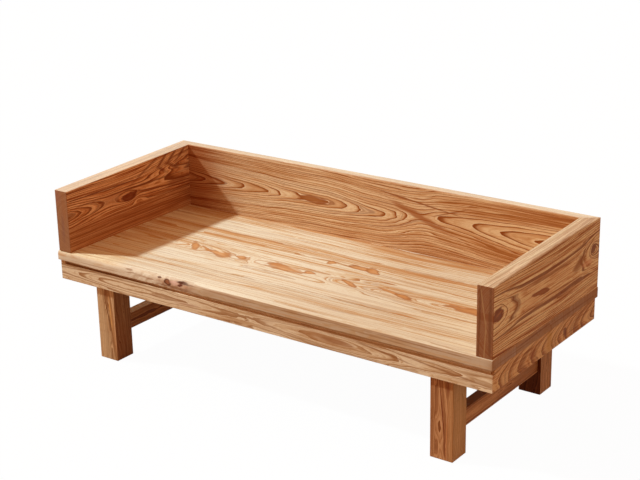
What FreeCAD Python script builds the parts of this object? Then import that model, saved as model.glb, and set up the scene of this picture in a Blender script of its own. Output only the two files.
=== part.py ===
import FreeCAD, Part
import os
import re

import Sketcher

# A luohan daybed in solid wood: a plank seat with two arms and a back of thick slabs,
# on a ring of aprons, four square legs and two low side stretchers.
# The origin is the centre of the footprint on the floor. +X runs along the bed with the
# sitter's back to +Y, and +Z is up. All sizes are millimetres.

SIZES = {
    # Seat planks, joined by a tongue on each rear edge
    "bed_length": 2000,
    "bed_depth": 800,
    "seat_height": 434,
    "seat_thickness": 40,
    "tongue_thickness": 12,
    "tongue_depth": 10,
    "tongue_end_stop": 30,
    "glue_gap": 1,
    "wane_radius": 15,
    "end_corner_radius": 12,
    "arris_radius": 2,
    # Arms and back
    "arm_thickness": 64,
    "arm_front_height": 255,
    "arm_left_inset": 6,
    "arm_right_inset": 1,
    "arm_front_inset": 5,
    "back_thickness": 46,
    "back_height": 273,
    "back_rear_inset": 5,
    # Aprons, with a shadow groove along the top of the front one
    "apron_height": 83,
    "apron_thickness": 30,
    "apron_left_inset": 8,
    "apron_right_inset": 2,
    "apron_front_inset": 8,
    "apron_rear_inset": 18,
    "groove_height": 16,
    "groove_depth": 14,
    "groove_end_stop": 22,
    # Legs, notched round the front and rear aprons and set in from the ends of these
    "leg_width": 92,
    "leg_step": 16,
    "leg_left_inset": 172,
    "leg_right_inset": 158,
    "leg_tenon_width": 40,
    "leg_tenon_height": 20,
    "movement_gap": 3,
    # Side stretchers
    "stretcher_width": 42,
    "stretcher_height": 68,
    "stretcher_floor_gap": 92,
    "stretcher_inset": 14,
    "stretcher_tenon_length": 52,
    "stretcher_tenon_thickness": 16,
    "stretcher_shoulder": 10,
    # Bearers that tie the tops of each pair of legs
    "bearer_width": 50,
    "bearer_height": 70,
    "bearer_tenon_length": 44,
    "bearer_tenon_thickness": 18,
    "bearer_shoulder": 12,
    # Dovetail battens across the underside of the seat
    "batten_width": 50,
    "batten_height": 38,
    "batten_tenon_length": 14,
    "batten_shoulder": 8,
    "dovetail_neck": 34,
    "dovetail_head": 44,
    "dovetail_depth": 12,
    # Sliding dovetail keys under the arms and the back
    "key_length": 40,
    "key_thickness": 18,
    "key_neck": 12,
    "key_height": 32,
    "key_foot_depth": 24,
    # Loose splines in the two rear mitres
    "spline_thickness": 10,
    "spline_width": 40,
    "spline_bottom_margin": 20,
    "spline_top_margin": 40,
    # Corner blocks, pegs and dowels
    "corner_block_leg": 42,
    "corner_block_height": 66,
    "peg_radius": 5,
    "peg_end_margin": 12,
    "dowel_radius": 6,
    "dowel_reach": 18,
    "dowel_margin": 22,
}

# Seams between the seat planks, as shares of the depth from the front
seam_shares = (0, 0.21, 0.40, 0.61, 0.80, 1)
# Centres of the three inner battens, as shares of the length from the left
batten_shares = (0.30, 0.50, 0.70)
# Places of the two end battens, as shares of their spare room from the corner blocks to the legs
end_batten_shares = {"left": 0.1, "right": 0.3}
# Centres of the keys, as shares of the length under the back and of the depth under an arm
back_key_shares = (0.14, 0.38, 0.62, 0.86)
arm_key_shares = (0.28, 0.68)
# How much of the front edge, from the left, keeps its natural roundness
wane_share = 0.33

# Places that several pieces share, as expressions on the sheet's words
LEFT = "(-bed_length / 2)"
RIGHT = "(bed_length / 2)"
FRONT = "(-bed_depth / 2)"
REAR = "(bed_depth / 2)"
UNDERSIDE = "(seat_height - seat_thickness)"
APRON_BOTTOM = f"({UNDERSIDE} - apron_height)"
APRON_LEFT = f"({LEFT} + apron_left_inset)"
APRON_RIGHT = f"({RIGHT} - apron_right_inset)"
APRON_FRONT = f"({FRONT} + apron_front_inset)"
APRON_REAR = f"({REAR} - apron_rear_inset)"
INNER_LEFT = f"({APRON_LEFT} + apron_thickness)"
INNER_RIGHT = f"({APRON_RIGHT} - apron_thickness)"
INNER_FRONT = f"({APRON_FRONT} + apron_thickness)"
INNER_REAR = f"({APRON_REAR} - apron_thickness)"
ARM_LEFT = f"({LEFT} + arm_left_inset)"
ARM_RIGHT = f"({RIGHT} - arm_right_inset)"
ARM_FRONT = f"({FRONT} + arm_front_inset)"
BACK_REAR = f"({REAR} - back_rear_inset)"
BACK_FRONT = f"({BACK_REAR} - back_thickness)"
BACK_TOP = "(seat_height + back_height)"
FRONT_LEG = f"({APRON_FRONT} + leg_step)"
FRONT_LEG_BACK = f"({FRONT_LEG} + leg_width)"
REAR_LEG_BACK = f"({APRON_REAR} - leg_step)"
REAR_LEG = f"({REAR_LEG_BACK} - leg_width)"
LEG_LEFT_FACES = {
    "left": f"({APRON_LEFT} + leg_left_inset)",
    "right": f"({APRON_RIGHT} - leg_right_inset - leg_width)",
}
STRETCHER_LEFT_FACES = {
    "left": f"({LEG_LEFT_FACES['left']} + stretcher_inset)",
    "right": f"({LEG_LEFT_FACES['right']} + leg_width - stretcher_inset - stretcher_width)",
}
SIDES = ("left", "right")
ENDS = ("front", "rear")

SMALL = 1e-6

doc = FreeCAD.newDocument("LuohanDaybed")
sheet = doc.addObject("Spreadsheet::Sheet", "Sizes")
for row, (word, value) in enumerate(SIZES.items(), 1):
    sheet.set(f"A{row}", word)
    sheet.set(f"B{row}", str(value))
    sheet.setAlias(f"B{row}", word)
doc.recompute()
parts = []


def tied(words):
    """Put the sheet's name before each of its words in an expression."""
    return re.sub(r"[a-z_]+", lambda found: f"Sizes.{found[0]}" if found[0] in SIZES else found[0], words)


def size(words):
    """The present value of an expression on the sheet's words."""
    return float(sheet.evalExpression(tied(words)))


def near(first, second):
    """Whether two places are the same."""
    return abs(first - second) < SMALL


def keep(item, label):
    """Count a finished item as a sub-part, under its own label."""
    item.Label = label
    parts.append(item)
    return item


def block(name, along_x, along_y, along_z):
    """A square-edged block from its low and high place along each axis."""
    item = doc.addObject("Part::Box", name)
    sides = ("Length", "Width", "Height")
    for axis, side, (low, high) in zip("xyz", sides, (along_x, along_y, along_z)):
        item.setExpression(f"Placement.Base.{axis}", tied(low))
        item.setExpression(side, tied(f"{high} - {low}"))
    return item


def round_peg(name, start, direction, length, radius):
    """A round peg from the centre of its start, along a direction."""
    item = doc.addObject("Part::Cylinder", name)
    item.Placement.Rotation = FreeCAD.Rotation(FreeCAD.Vector(0, 0, 1), FreeCAD.Vector(*direction))
    for axis, words in zip("xyz", start):
        item.setExpression(f"Placement.Base.{axis}", tied(words))
    item.setExpression("Radius", tied(radius))
    item.setExpression("Height", tied(length))
    return item


def outline(body, name, role, corners, offset):
    """A closed sketch of straight lines on one of the body's planes, each corner tied to the sheet."""
    sketch = body.newObject("Sketcher::SketchObject", name)
    plane = [feature for feature in body.Origin.OriginFeatures if feature.Role == role][0]
    sketch.AttachmentSupport = [(plane, "")]
    sketch.MapMode = "FlatFace"
    sketch.setExpression("AttachmentOffset.Base.z", tied(offset))
    places = [FreeCAD.Vector(size(across), size(up), 0) for across, up in corners]
    for start, end in zip(places, places[1:] + places[:1]):
        sketch.addGeometry(Part.LineSegment(start, end))
    # A sketch numbers a line's start as its point 1 and its end as its point 2
    for line in range(len(corners)):
        following = (line + 1) % len(corners)
        sketch.addConstraint(Sketcher.Constraint("Coincident", line, 2, following, 1))
    for line, words in enumerate(corners):
        for kind, expression, place in zip(("DistanceX", "DistanceY"), words, places[line]):
            index = sketch.addConstraint(Sketcher.Constraint(kind, -1, 1, line, 1, place))
            sketch.renameConstraint(index, f"{kind}_{line}")
            sketch.setExpression(f"Constraints.{kind}_{line}", tied(expression))
    return sketch


def slab(name, role, corners, span):
    """A body with one straight-sided outline, padded across its low and high place off the plane."""
    low, high = span
    offset = f"-{high}" if role == "XZ_Plane" else low
    body = doc.addObject("PartDesign::Body", name)
    sketch = outline(body, f"{name}_outline", role, corners, offset)
    pad = body.newObject("PartDesign::Pad", f"{name}_pad")
    pad.Profile = sketch
    pad.setExpression("Length", tied(f"{high} - {low}"))
    body.Tip = pad
    return body


def joined(name, items):
    """Several solids fused into one piece of wood."""
    item = doc.addObject("Part::MultiFuse", name)
    item.Shapes = items
    item.Refine = False
    return item


def grouped(name, items):
    """Several solids kept apart in one item."""
    item = doc.addObject("Part::Compound", name)
    item.Links = items
    return item


def fitted(name, base, tools):
    """A piece with the room for its neighbours cut out of it."""
    item = doc.addObject("Part::Cut", name)
    item.Base = base
    item.Tool = tools[0] if len(tools) == 1 else grouped(f"{name}_room", tools)
    return item


def eased(name, base, radii):
    """A piece with rounded edges. radii gives an edge's left and right radius, or None for a sharp edge."""
    doc.recompute()
    chosen = []
    for number, edge in enumerate(base.Shape.Edges, 1):
        pair = radii(edge.BoundBox)
        if pair:
            runs_left = edge.Vertexes[0].X > edge.Vertexes[-1].X
            first, last = reversed(pair) if runs_left else pair
            chosen.append((number, size(first), size(last)))
    item = doc.addObject("Part::Fillet", name)
    item.Base = base
    item.Edges = chosen
    return item


ARRIS = ("arris_radius", "arris_radius")


# Keys: a square head up in the arm or back, and a dovetail foot that slides in the seat
def key(name, middle, low, role):
    """One key with its dovetail across the plane of role, from its low end along the bed or its depth."""
    corners = [
        (f"{middle} - key_thickness / 2", "seat_height - key_foot_depth"),
        (f"{middle} + key_thickness / 2", "seat_height - key_foot_depth"),
        (f"{middle} + key_neck / 2", "seat_height"),
        (f"{middle} + key_thickness / 2", "seat_height"),
        (f"{middle} + key_thickness / 2", "seat_height + key_height"),
        (f"{middle} - key_thickness / 2", "seat_height + key_height"),
        (f"{middle} - key_thickness / 2", "seat_height"),
        (f"{middle} - key_neck / 2", "seat_height"),
    ]
    return slab(name, role, corners, (low, f"({low} + key_length)"))


def key_entry(name, middle, low, role):
    """The straight-sided hole beside a key, where its foot drops in before it slides home."""
    across = (f"({middle} - key_thickness / 2)", f"({middle} + key_thickness / 2)")
    along = (f"({low} + key_length)", f"({low} + 2 * key_length + glue_gap)")
    plan = (along, across) if role == "YZ_Plane" else (across, along)
    return block(name, *plan, ("(seat_height - key_foot_depth)", "seat_height"))


ARM_MIDDLES = {
    "left": f"({ARM_LEFT} + arm_thickness / 2)",
    "right": f"({ARM_RIGHT} - arm_thickness / 2)",
}
BACK_MIDDLE = f"({BACK_REAR} - back_thickness / 2)"
key_places = {"back_keys": [
    (BACK_MIDDLE, f"({LEFT} + {share} * bed_length - key_length / 2)", "YZ_Plane")
    for share in back_key_shares
]}
for side in SIDES:
    key_places[f"arm_{side}_keys"] = [
        (ARM_MIDDLES[side], f"({FRONT} + {share} * bed_depth - key_length / 2)", "XZ_Plane")
        for share in arm_key_shares
    ]
keys = {}
key_entries = []
for group, places in key_places.items():
    solids = [key(f"{group}_{number}", *place) for number, place in enumerate(places, 1)]
    keys[group] = keep(grouped(group, solids), group)
    key_entries += [key_entry(f"{group}_entry_{number}", *place) for number, place in enumerate(places, 1)]


# Rear mitres: where each arm meets the back, from the outer corner to the inner one
MITRE_LENGTH = "sqrt(arm_thickness ^ 2 + back_thickness ^ 2)"
OUTER_X = {"left": ARM_LEFT, "right": ARM_RIGHT}
INNER_X = {"left": f"({ARM_LEFT} + arm_thickness)", "right": f"({ARM_RIGHT} - arm_thickness)"}
INWARD = {"left": "", "right": "-"}
SCREEN_SPAN = ("seat_height", "(seat_height + max(arm_front_height, back_height))")


def mitre_waste(name, side, corner):
    """The triangle on one side of a mitre, up to the highest place of the arms and the back."""
    corners = [(OUTER_X[side], BACK_REAR), (INNER_X[side], BACK_FRONT), corner]
    return slab(name, "XY_Plane", corners, SCREEN_SPAN)


def corner_spline(side):
    """A loose plate let into both sides of a mitre, square across it and hidden from above."""
    along_x = f"({INWARD[side]}arm_thickness / {MITRE_LENGTH})"
    along_y = f"(-back_thickness / {MITRE_LENGTH})"
    corners = []
    for along, across in ((-1, -1), (1, -1), (1, 1), (-1, 1)):
        shift_x = f"{along} * {along_x} * spline_thickness / 2 - {across} * {along_y} * spline_width / 2"
        shift_y = f"{along} * {along_y} * spline_thickness / 2 + {across} * {along_x} * spline_width / 2"
        corners.append((f"{ARM_MIDDLES[side]} + {shift_x}", f"{BACK_MIDDLE} + {shift_y}"))
    span = ("(seat_height + spline_bottom_margin)", f"({BACK_TOP} - spline_top_margin)")
    return keep(slab(f"corner_spline_{side}", "XY_Plane", corners, span), f"corner_spline_{side}")


splines = {side: corner_spline(side) for side in SIDES}


# Arms and back: thick slabs whose tops lie in one plane that rises gently to the rear
def screen_radii(box):
    """Ease the top edges of a slab and the upright ones at an arm's front."""
    if box.ZLength > SMALL and box.XLength < SMALL and box.YLength < SMALL:
        return ARRIS if near(box.YMin, size(ARM_FRONT)) else None
    on_mitre = box.XLength > SMALL and box.YLength > SMALL
    return None if on_mitre or near(box.ZMin, size("seat_height")) else ARRIS


def arm(side):
    """One arm slab, mitred at the rear and seated on its keys."""
    corners = [
        (ARM_FRONT, "seat_height"),
        (BACK_REAR, "seat_height"),
        (BACK_REAR, BACK_TOP),
        (ARM_FRONT, "seat_height + arm_front_height"),
    ]
    low, high = (OUTER_X[side], INNER_X[side]) if side == "left" else (INNER_X[side], OUTER_X[side])
    blank = slab(f"arm_{side}_slab", "YZ_Plane", corners, (low, high))
    waste = mitre_waste(f"arm_{side}_waste", side, (INNER_X[side], BACK_REAR))
    mitred = fitted(f"arm_{side}_mitred", blank, [waste])
    rounded = eased(f"arm_{side}_eased", mitred, screen_radii)
    return keep(fitted(f"arm_{side}", rounded, [keys[f"arm_{side}_keys"], splines[side]]), f"arm_{side}")


def back():
    """The back slab, mitred at both ends."""
    fall = f"(back_height - arm_front_height) * back_thickness / ({BACK_REAR} - {ARM_FRONT})"
    corners = [
        (BACK_FRONT, "seat_height"),
        (BACK_REAR, "seat_height"),
        (BACK_REAR, BACK_TOP),
        (BACK_FRONT, f"{BACK_TOP} - {fall}"),
    ]
    blank = slab("back_slab", "YZ_Plane", corners, (ARM_LEFT, ARM_RIGHT))
    wastes = [mitre_waste(f"back_waste_{side}", side, (OUTER_X[side], BACK_FRONT)) for side in SIDES]
    mitred = fitted("back_mitred", blank, wastes)
    rounded = eased("back_eased", mitred, screen_radii)
    return keep(fitted("back_panel", rounded, [keys["back_keys"], *splines.values()]), "back_panel")


# Battens: a square bar with a dovetail along its top and a stub tenon at each end
def end_batten_middle(side):
    """The centre of the batten that stands between a side's corner blocks and its legs."""
    if side == "left":
        block_face, inward = f"({INNER_LEFT} + corner_block_leg)", "+"
        room = f"({LEG_LEFT_FACES[side]} - {block_face} - batten_width)"
    else:
        block_face, inward = f"({INNER_RIGHT} - corner_block_leg)", "-"
        room = f"({block_face} - {LEG_LEFT_FACES[side]} - leg_width - batten_width)"
    return f"({block_face} {inward} (batten_width / 2 + {end_batten_shares[side]} * {room}))"


def batten(number, middle):
    """One dovetail batten, from the front apron to the rear one."""
    bottom = f"({UNDERSIDE} - batten_height)"
    top = f"({UNDERSIDE} + dovetail_depth)"
    corners = [
        (f"{middle} - batten_width / 2", bottom),
        (f"{middle} + batten_width / 2", bottom),
        (f"{middle} + batten_width / 2", UNDERSIDE),
        (f"{middle} + dovetail_neck / 2", UNDERSIDE),
        (f"{middle} + dovetail_head / 2", top),
        (f"{middle} - dovetail_head / 2", top),
        (f"{middle} - dovetail_neck / 2", UNDERSIDE),
        (f"{middle} - batten_width / 2", UNDERSIDE),
    ]
    bar = slab(f"batten_{number}_bar", "XZ_Plane", corners, (INNER_FRONT, INNER_REAR))
    half_tenon = "(batten_width / 2 - batten_shoulder)"
    tenons = block(
        f"batten_{number}_tenons",
        (f"({middle} - {half_tenon})", f"({middle} + {half_tenon})"),
        (f"({INNER_FRONT} - batten_tenon_length)", f"({INNER_REAR} + batten_tenon_length)"),
        (f"({bottom} + batten_shoulder)", f"({UNDERSIDE} - batten_shoulder)"),
    )
    return keep(joined(f"batten_{number}", [bar, tenons]), f"batten_{number}")


for side in SIDES:
    arm(side)
back()
inner_batten_middles = [f"({LEFT} + {share} * bed_length)" for share in batten_shares]
batten_middles = [end_batten_middle("left"), *inner_batten_middles, end_batten_middle("right")]
battens = [batten(number, middle) for number, middle in enumerate(batten_middles, 1)]


# Pegs that lock the stretcher and bearer tenons, and dowels between the aprons and the legs
def tenon_peg(name, side, end, tenon_length, tenon_far_face, height):
    """A peg from a leg's left face through the middle of a tenon and a little beyond."""
    shoulder, into_leg = (FRONT_LEG_BACK, "-") if end == "front" else (REAR_LEG, "+")
    face = LEG_LEFT_FACES[side]
    start = (face, f"{shoulder} {into_leg} {tenon_length} / 2", height)
    return round_peg(name, start, (1, 0, 0), f"{tenon_far_face} + peg_end_margin - {face}", "peg_radius")


def stretcher_peg(side, end):
    """The peg through one end of a stretcher."""
    far_face = f"({STRETCHER_LEFT_FACES[side]} + stretcher_width / 2 + stretcher_tenon_thickness / 2)"
    height = "stretcher_floor_gap + stretcher_height / 2"
    return tenon_peg(f"stretcher_peg_{side}_{end}", side, end, "stretcher_tenon_length", far_face, height)


def bearer_peg(side, end):
    """The peg through one end of a bearer."""
    far_face = f"({LEG_LEFT_FACES[side]} + leg_width / 2 + bearer_tenon_thickness / 2)"
    height = f"{UNDERSIDE} - bearer_height / 2"
    return tenon_peg(f"bearer_peg_{side}_{end}", side, end, "bearer_tenon_length", far_face, height)


def apron_dowel(side, end, place, share):
    """One dowel across the joint between an apron and the notch of a leg."""
    joint = INNER_FRONT if end == "front" else INNER_REAR
    across = f"{LEG_LEFT_FACES[side]} + leg_width / 2 + {share} * (leg_width / 2 - dowel_margin)"
    start = (across, f"{joint} - dowel_reach", f"{APRON_BOTTOM} + dowel_margin")
    name = f"apron_dowel_{side}_{end}_{place}"
    return round_peg(name, start, (0, 1, 0), "2 * dowel_reach", "dowel_radius")


corners_of_bed = [(side, end) for side in SIDES for end in ENDS]
stretcher_peg_solids = [stretcher_peg(*corner) for corner in corners_of_bed]
stretcher_pegs = keep(grouped("stretcher_pegs", stretcher_peg_solids), "stretcher_pegs")
bearer_peg_solids = [bearer_peg(*corner) for corner in corners_of_bed]
bearer_pegs = keep(grouped("bearer_pegs", bearer_peg_solids), "bearer_pegs")
dowel_solids = [
    apron_dowel(*corner, place, share)
    for corner in corners_of_bed
    for place, share in (("inner", -1), ("outer", 1))
]
apron_dowels = keep(grouped("apron_dowels", dowel_solids), "apron_dowels")


# Cross rails: the low stretcher and the bearer between the front and rear leg of each side
def cross_rail(name, across, heights, tenon_length, tenon_thickness, shoulder, pegs):
    """A rail between two legs with a centred tenon at each end."""
    low, high = across
    bottom, top = heights
    rail = block(f"{name}_rail", across, (FRONT_LEG_BACK, REAR_LEG), heights)
    rounded = eased(f"{name}_eased", rail, lambda box: ARRIS if box.YLength > SMALL else None)
    inset = f"({high} - {low} - {tenon_thickness}) / 2"
    tenons = block(
        f"{name}_tenons",
        (f"({low} + {inset})", f"({high} - {inset})"),
        (f"({FRONT_LEG_BACK} - {tenon_length})", f"({REAR_LEG} + {tenon_length})"),
        (f"({bottom} + {shoulder})", f"({top} - {shoulder})"),
    )
    return keep(fitted(name, joined(f"{name}_whole", [rounded, tenons]), [pegs]), name)


def stretcher(side):
    """The low rail near the floor."""
    low = STRETCHER_LEFT_FACES[side]
    across = (low, f"({low} + stretcher_width)")
    heights = ("stretcher_floor_gap", "(stretcher_floor_gap + stretcher_height)")
    sizes = ("stretcher_tenon_length", "stretcher_tenon_thickness", "stretcher_shoulder")
    return cross_rail(f"stretcher_{side}", across, heights, *sizes, stretcher_pegs)


def bearer(side):
    """The rail that carries the seat between the tops of two legs."""
    low = f"({LEG_LEFT_FACES[side]} + (leg_width - bearer_width) / 2)"
    across = (low, f"({low} + bearer_width)")
    heights = (f"({UNDERSIDE} - bearer_height)", UNDERSIDE)
    sizes = ("bearer_tenon_length", "bearer_tenon_thickness", "bearer_shoulder")
    return cross_rail(f"bearer_{side}", across, heights, *sizes, bearer_pegs)


stretchers = {side: stretcher(side) for side in SIDES}
bearers = {side: bearer(side) for side in SIDES}

# Aprons: a mitred ring under the seat
APRON_SPAN = (APRON_BOTTOM, UNDERSIDE)
OUTER_CORNERS = {
    "front_left": (APRON_LEFT, APRON_FRONT),
    "front_right": (APRON_RIGHT, APRON_FRONT),
    "rear_right": (APRON_RIGHT, APRON_REAR),
    "rear_left": (APRON_LEFT, APRON_REAR),
}
INNER_CORNERS = {
    "front_left": (INNER_LEFT, INNER_FRONT),
    "front_right": (INNER_RIGHT, INNER_FRONT),
    "rear_right": (INNER_RIGHT, INNER_REAR),
    "rear_left": (INNER_LEFT, INNER_REAR),
}
APRON_ENDS = {
    "front": ("front_left", "front_right"),
    "right": ("front_right", "rear_right"),
    "rear": ("rear_right", "rear_left"),
    "left": ("rear_left", "front_left"),
}
APRON_OUTLINES = {
    place: [OUTER_CORNERS[first], OUTER_CORNERS[last], INNER_CORNERS[last], INNER_CORNERS[first]]
    for place, (first, last) in APRON_ENDS.items()
}
apron_slabs = {place: slab(f"apron_{place}_slab", "XY_Plane", corners, APRON_SPAN)
               for place, corners in APRON_OUTLINES.items()}
groove = block(
    "shadow_groove",
    (f"({APRON_LEFT} + groove_end_stop)", RIGHT),
    (APRON_FRONT, f"({APRON_FRONT} + groove_depth)"),
    (f"({UNDERSIDE} - groove_height)", UNDERSIDE),
)


def apron_radii(place):
    """Ease the long lower edges of an apron, and the lip of the groove on the front one."""
    bottom = size(APRON_BOTTOM)
    lip = size(f"{UNDERSIDE} - groove_height")
    face = size(APRON_FRONT)

    def radii(box):
        straight = near(box.ZLength, 0) and (near(box.XLength, 0) or near(box.YLength, 0))
        on_lip = place == "front" and near(box.ZMin, lip) and near(box.YMin, face)
        return ARRIS if straight and (near(box.ZMin, bottom) or on_lip) else None
    return radii


def apron(place):
    """One apron, housed for the batten tenons and bored for the dowels."""
    blank = apron_slabs[place]
    grooved = fitted(f"apron_{place}_grooved", blank, [groove]) if place in ("front", "right") else blank
    rounded = eased(f"apron_{place}_eased", grooved, apron_radii(place))
    if place in ENDS:
        rounded = fitted(f"apron_{place}", rounded, [*battens, apron_dowels])
    return keep(rounded, f"apron_{place}")


for place in APRON_OUTLINES:
    apron(place)


def corner_block(side, end):
    """A glue block with a slanted face in one inner corner of the apron ring."""
    x, x_sign = (INNER_LEFT, "+") if side == "left" else (INNER_RIGHT, "-")
    y, y_sign = (INNER_FRONT, "+") if end == "front" else (INNER_REAR, "-")
    corners = [(x, y), (f"{x} {x_sign} corner_block_leg", y), (x, f"{y} {y_sign} corner_block_leg")]
    name = f"corner_block_{end}_{side}"
    return keep(slab(name, "XY_Plane", corners, (f"({UNDERSIDE} - corner_block_height)", UNDERSIDE)), name)


for corner in corners_of_bed:
    corner_block(*corner)


# Legs: square posts, notched for the long aprons, with a tenon up into the seat
def leg_tenon(name, side, end, side_gap, top_gap):
    """The tenon on top of a leg, or with gaps its mortise in the seat."""
    middle_x = f"({LEG_LEFT_FACES[side]} + leg_width / 2)"
    faces = (INNER_FRONT, FRONT_LEG_BACK) if end == "front" else (REAR_LEG, INNER_REAR)
    middle_y = f"(({faces[0]} + {faces[1]}) / 2)"
    half = "leg_tenon_width / 2"
    return block(
        name,
        (f"({middle_x} - {half})", f"({middle_x} + {half})"),
        (f"({middle_y} - {half} - {side_gap})", f"({middle_y} + {half} + {side_gap})"),
        (UNDERSIDE, f"({UNDERSIDE} + leg_tenon_height + {top_gap})"),
    )


def leg(side, end):
    """One leg, with its notch, mortises and peg holes."""
    name = f"leg_{end}_{side}"
    face = LEG_LEFT_FACES[side]
    depth = (FRONT_LEG, FRONT_LEG_BACK) if end == "front" else (REAR_LEG, REAR_LEG_BACK)
    post = block(f"{name}_post", (face, f"({face} + leg_width)"), depth, ("0", UNDERSIDE))
    top = size(UNDERSIDE)
    rounded = eased(f"{name}_eased", post, lambda box: None if near(box.ZMin, top) else ARRIS)
    whole = joined(f"{name}_whole", [rounded, leg_tenon(f"{name}_tenon", side, end, "0", "0")])
    tools = [apron_slabs[end], stretchers[side], bearers[side], stretcher_pegs, bearer_pegs, apron_dowels]
    return keep(fitted(name, whole, tools), name)


leg_mortises = []
for side, end in corners_of_bed:
    leg(side, end)
    leg_mortises.append(leg_tenon(f"leg_mortise_{side}_{end}", side, end, "movement_gap", "glue_gap"))

# Seat: planks along the bed, the front one with a naturally rounded stretch of front edge
WANE_END = f"({LEFT} + {wane_share} * bed_length)"
SEAT_SPAN = (UNDERSIDE, "seat_height")
SEAT_MIDDLE = f"({UNDERSIDE} + seat_thickness / 2)"


def seam(number):
    """The place of a plank's rear edge."""
    return f"({FRONT} + {seam_shares[number]} * bed_depth)"


def tongue(name, number, depth, stop):
    """The tongue on a plank's rear edge, or the groove in the next plank for it."""
    return block(
        name,
        (f"({LEFT} + {stop})", f"({RIGHT} - {stop})"),
        (seam(number), f"({seam(number)} + {depth})"),
        (f"({SEAT_MIDDLE} - tongue_thickness / 2)", f"({SEAT_MIDDLE} + tongue_thickness / 2)"),
    )


def plank_radii(number):
    """Ease a plank's free edges, and round the wane and the front left corner of the first one."""
    seams = [size(seam(edge)) for edge in (number - 1, number) if 0 < edge < len(seam_shares) - 1]
    wane_end, top, front, left = size(WANE_END), size("seat_height"), size(FRONT), size(LEFT)

    def radii(box):
        if near(box.YMin, box.YMax) and any(near(box.YMin, place) for place in seams):
            return None
        across_wane = near(box.XMin, box.XMax) and near(box.XMin, wane_end)
        if across_wane:
            return None
        if near(box.YMax, front) and near(box.ZMin, top) and box.XMax < wane_end + SMALL:
            return "wane_radius", "arris_radius"
        if near(box.YMax, front) and near(box.XMax, left):
            return "end_corner_radius", "end_corner_radius"
        return ARRIS
    return radii


def seat_plank(number):
    """One plank of the seat, with its tongue and all that is let into it."""
    name = f"seat_plank_{number}"
    depth = (seam(number - 1), seam(number))
    if number == 1:
        lengths = ((LEFT, WANE_END), (WANE_END, RIGHT))
        blank = joined(f"{name}_blank", [block(f"{name}_{place}", span, depth, SEAT_SPAN)
                                         for place, span in zip(SIDES, lengths)])
    else:
        blank = block(f"{name}_blank", (LEFT, RIGHT), depth, SEAT_SPAN)
    wood = eased(f"{name}_eased", blank, plank_radii(number))
    if number < len(seam_shares) - 1:
        tongue_on = tongue(f"{name}_tongue", number, "tongue_depth", "tongue_end_stop")
        wood = joined(f"{name}_whole", [wood, tongue_on])
    tools = [*battens, *keys.values(), *key_entries, *leg_mortises]
    if number > 1:
        groove_sizes = ("(tongue_depth + glue_gap)", "(tongue_end_stop - glue_gap)")
        tools.append(tongue(f"{name}_groove", number - 1, *groove_sizes))
    return keep(fitted(name, wood, tools), name)


for number in range(1, len(seam_shares)):
    seat_plank(number)

doc.recompute()
failed = [item.Name for item in doc.Objects if {"Invalid", "Error"} & set(item.State)]
failed += [item.Label for item in parts if item.Shape.isNull() or not item.Shape.isValid()]
if failed:
    raise RuntimeError(f"these did not build: {failed}")

os.makedirs("parts", exist_ok=True)
for item in parts:
    item.Shape.exportStep(f"parts/{item.Label}.step")
    box = item.Shape.BoundBox
    print(f"{item.Label}: {len(item.Shape.Solids)} solids, {item.Shape.Volume / 1e3:.0f} cm3,",
          f"{box.XLength:.1f} x {box.YLength:.1f} x {box.ZLength:.1f} mm")
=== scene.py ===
"""A luohan daybed in solid figured wood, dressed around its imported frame.

The frame holds every piece of the bed at its real size and place, in metres. Each board gets a wood of
its own here: growth rings round a heart, the figure that they make where a saw cut them, knots, fibres
and pores. The front plank of the seat is modelled anew, because its edge keeps the tree's own line. A
small studio lights the bed and views it from the front right.
"""

import logging
import math
from dataclasses import dataclass
from enum import Enum
from typing import Any, Callable, Mapping, Sequence, Union

import bmesh
import bpy
from mathutils import Matrix, Vector


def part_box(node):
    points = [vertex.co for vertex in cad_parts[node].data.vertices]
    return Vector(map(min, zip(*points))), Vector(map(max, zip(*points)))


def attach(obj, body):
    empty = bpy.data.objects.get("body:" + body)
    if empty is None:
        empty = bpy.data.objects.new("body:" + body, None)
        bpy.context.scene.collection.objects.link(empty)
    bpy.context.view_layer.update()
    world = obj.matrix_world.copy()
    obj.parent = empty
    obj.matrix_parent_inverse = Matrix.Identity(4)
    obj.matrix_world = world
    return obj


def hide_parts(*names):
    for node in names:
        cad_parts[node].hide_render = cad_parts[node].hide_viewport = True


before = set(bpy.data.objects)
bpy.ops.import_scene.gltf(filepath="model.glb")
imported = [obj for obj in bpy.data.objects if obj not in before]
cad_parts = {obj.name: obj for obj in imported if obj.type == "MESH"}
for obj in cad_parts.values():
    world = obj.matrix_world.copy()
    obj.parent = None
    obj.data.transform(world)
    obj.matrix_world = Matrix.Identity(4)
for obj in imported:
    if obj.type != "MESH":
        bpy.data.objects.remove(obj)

LOG = logging.getLogger("daybed")

Colour = tuple[int, int, int]
Curve = tuple[tuple[float, float], ...]
Number = Union[float, "Value"]
WHITE: Colour = (255, 255, 255)
# The sockets of a Mix node that carry its share and its colours.
MIX_SHARE, MIX_FIRST, MIX_SECOND, MIX_RESULT = 0, 6, 7, 2
# Vertices closer than this lie in the same place.
TOUCH = 1e-5


def linear(colour: Colour) -> tuple[float, float, float, float]:
    """A colour as it looks on a screen, turned into the light that a shader counts in.

    Args:
        colour: Red, green and blue from 0 to 255.

    Returns:
        The same colour in linear light, with full alpha.
    """
    shares = [part / 255 for part in colour]
    light = [share / 12.92 if share <= 0.04045 else ((share + 0.055) / 1.055) ** 2.4 for share in shares]
    return light[0], light[1], light[2], 1.0


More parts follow.
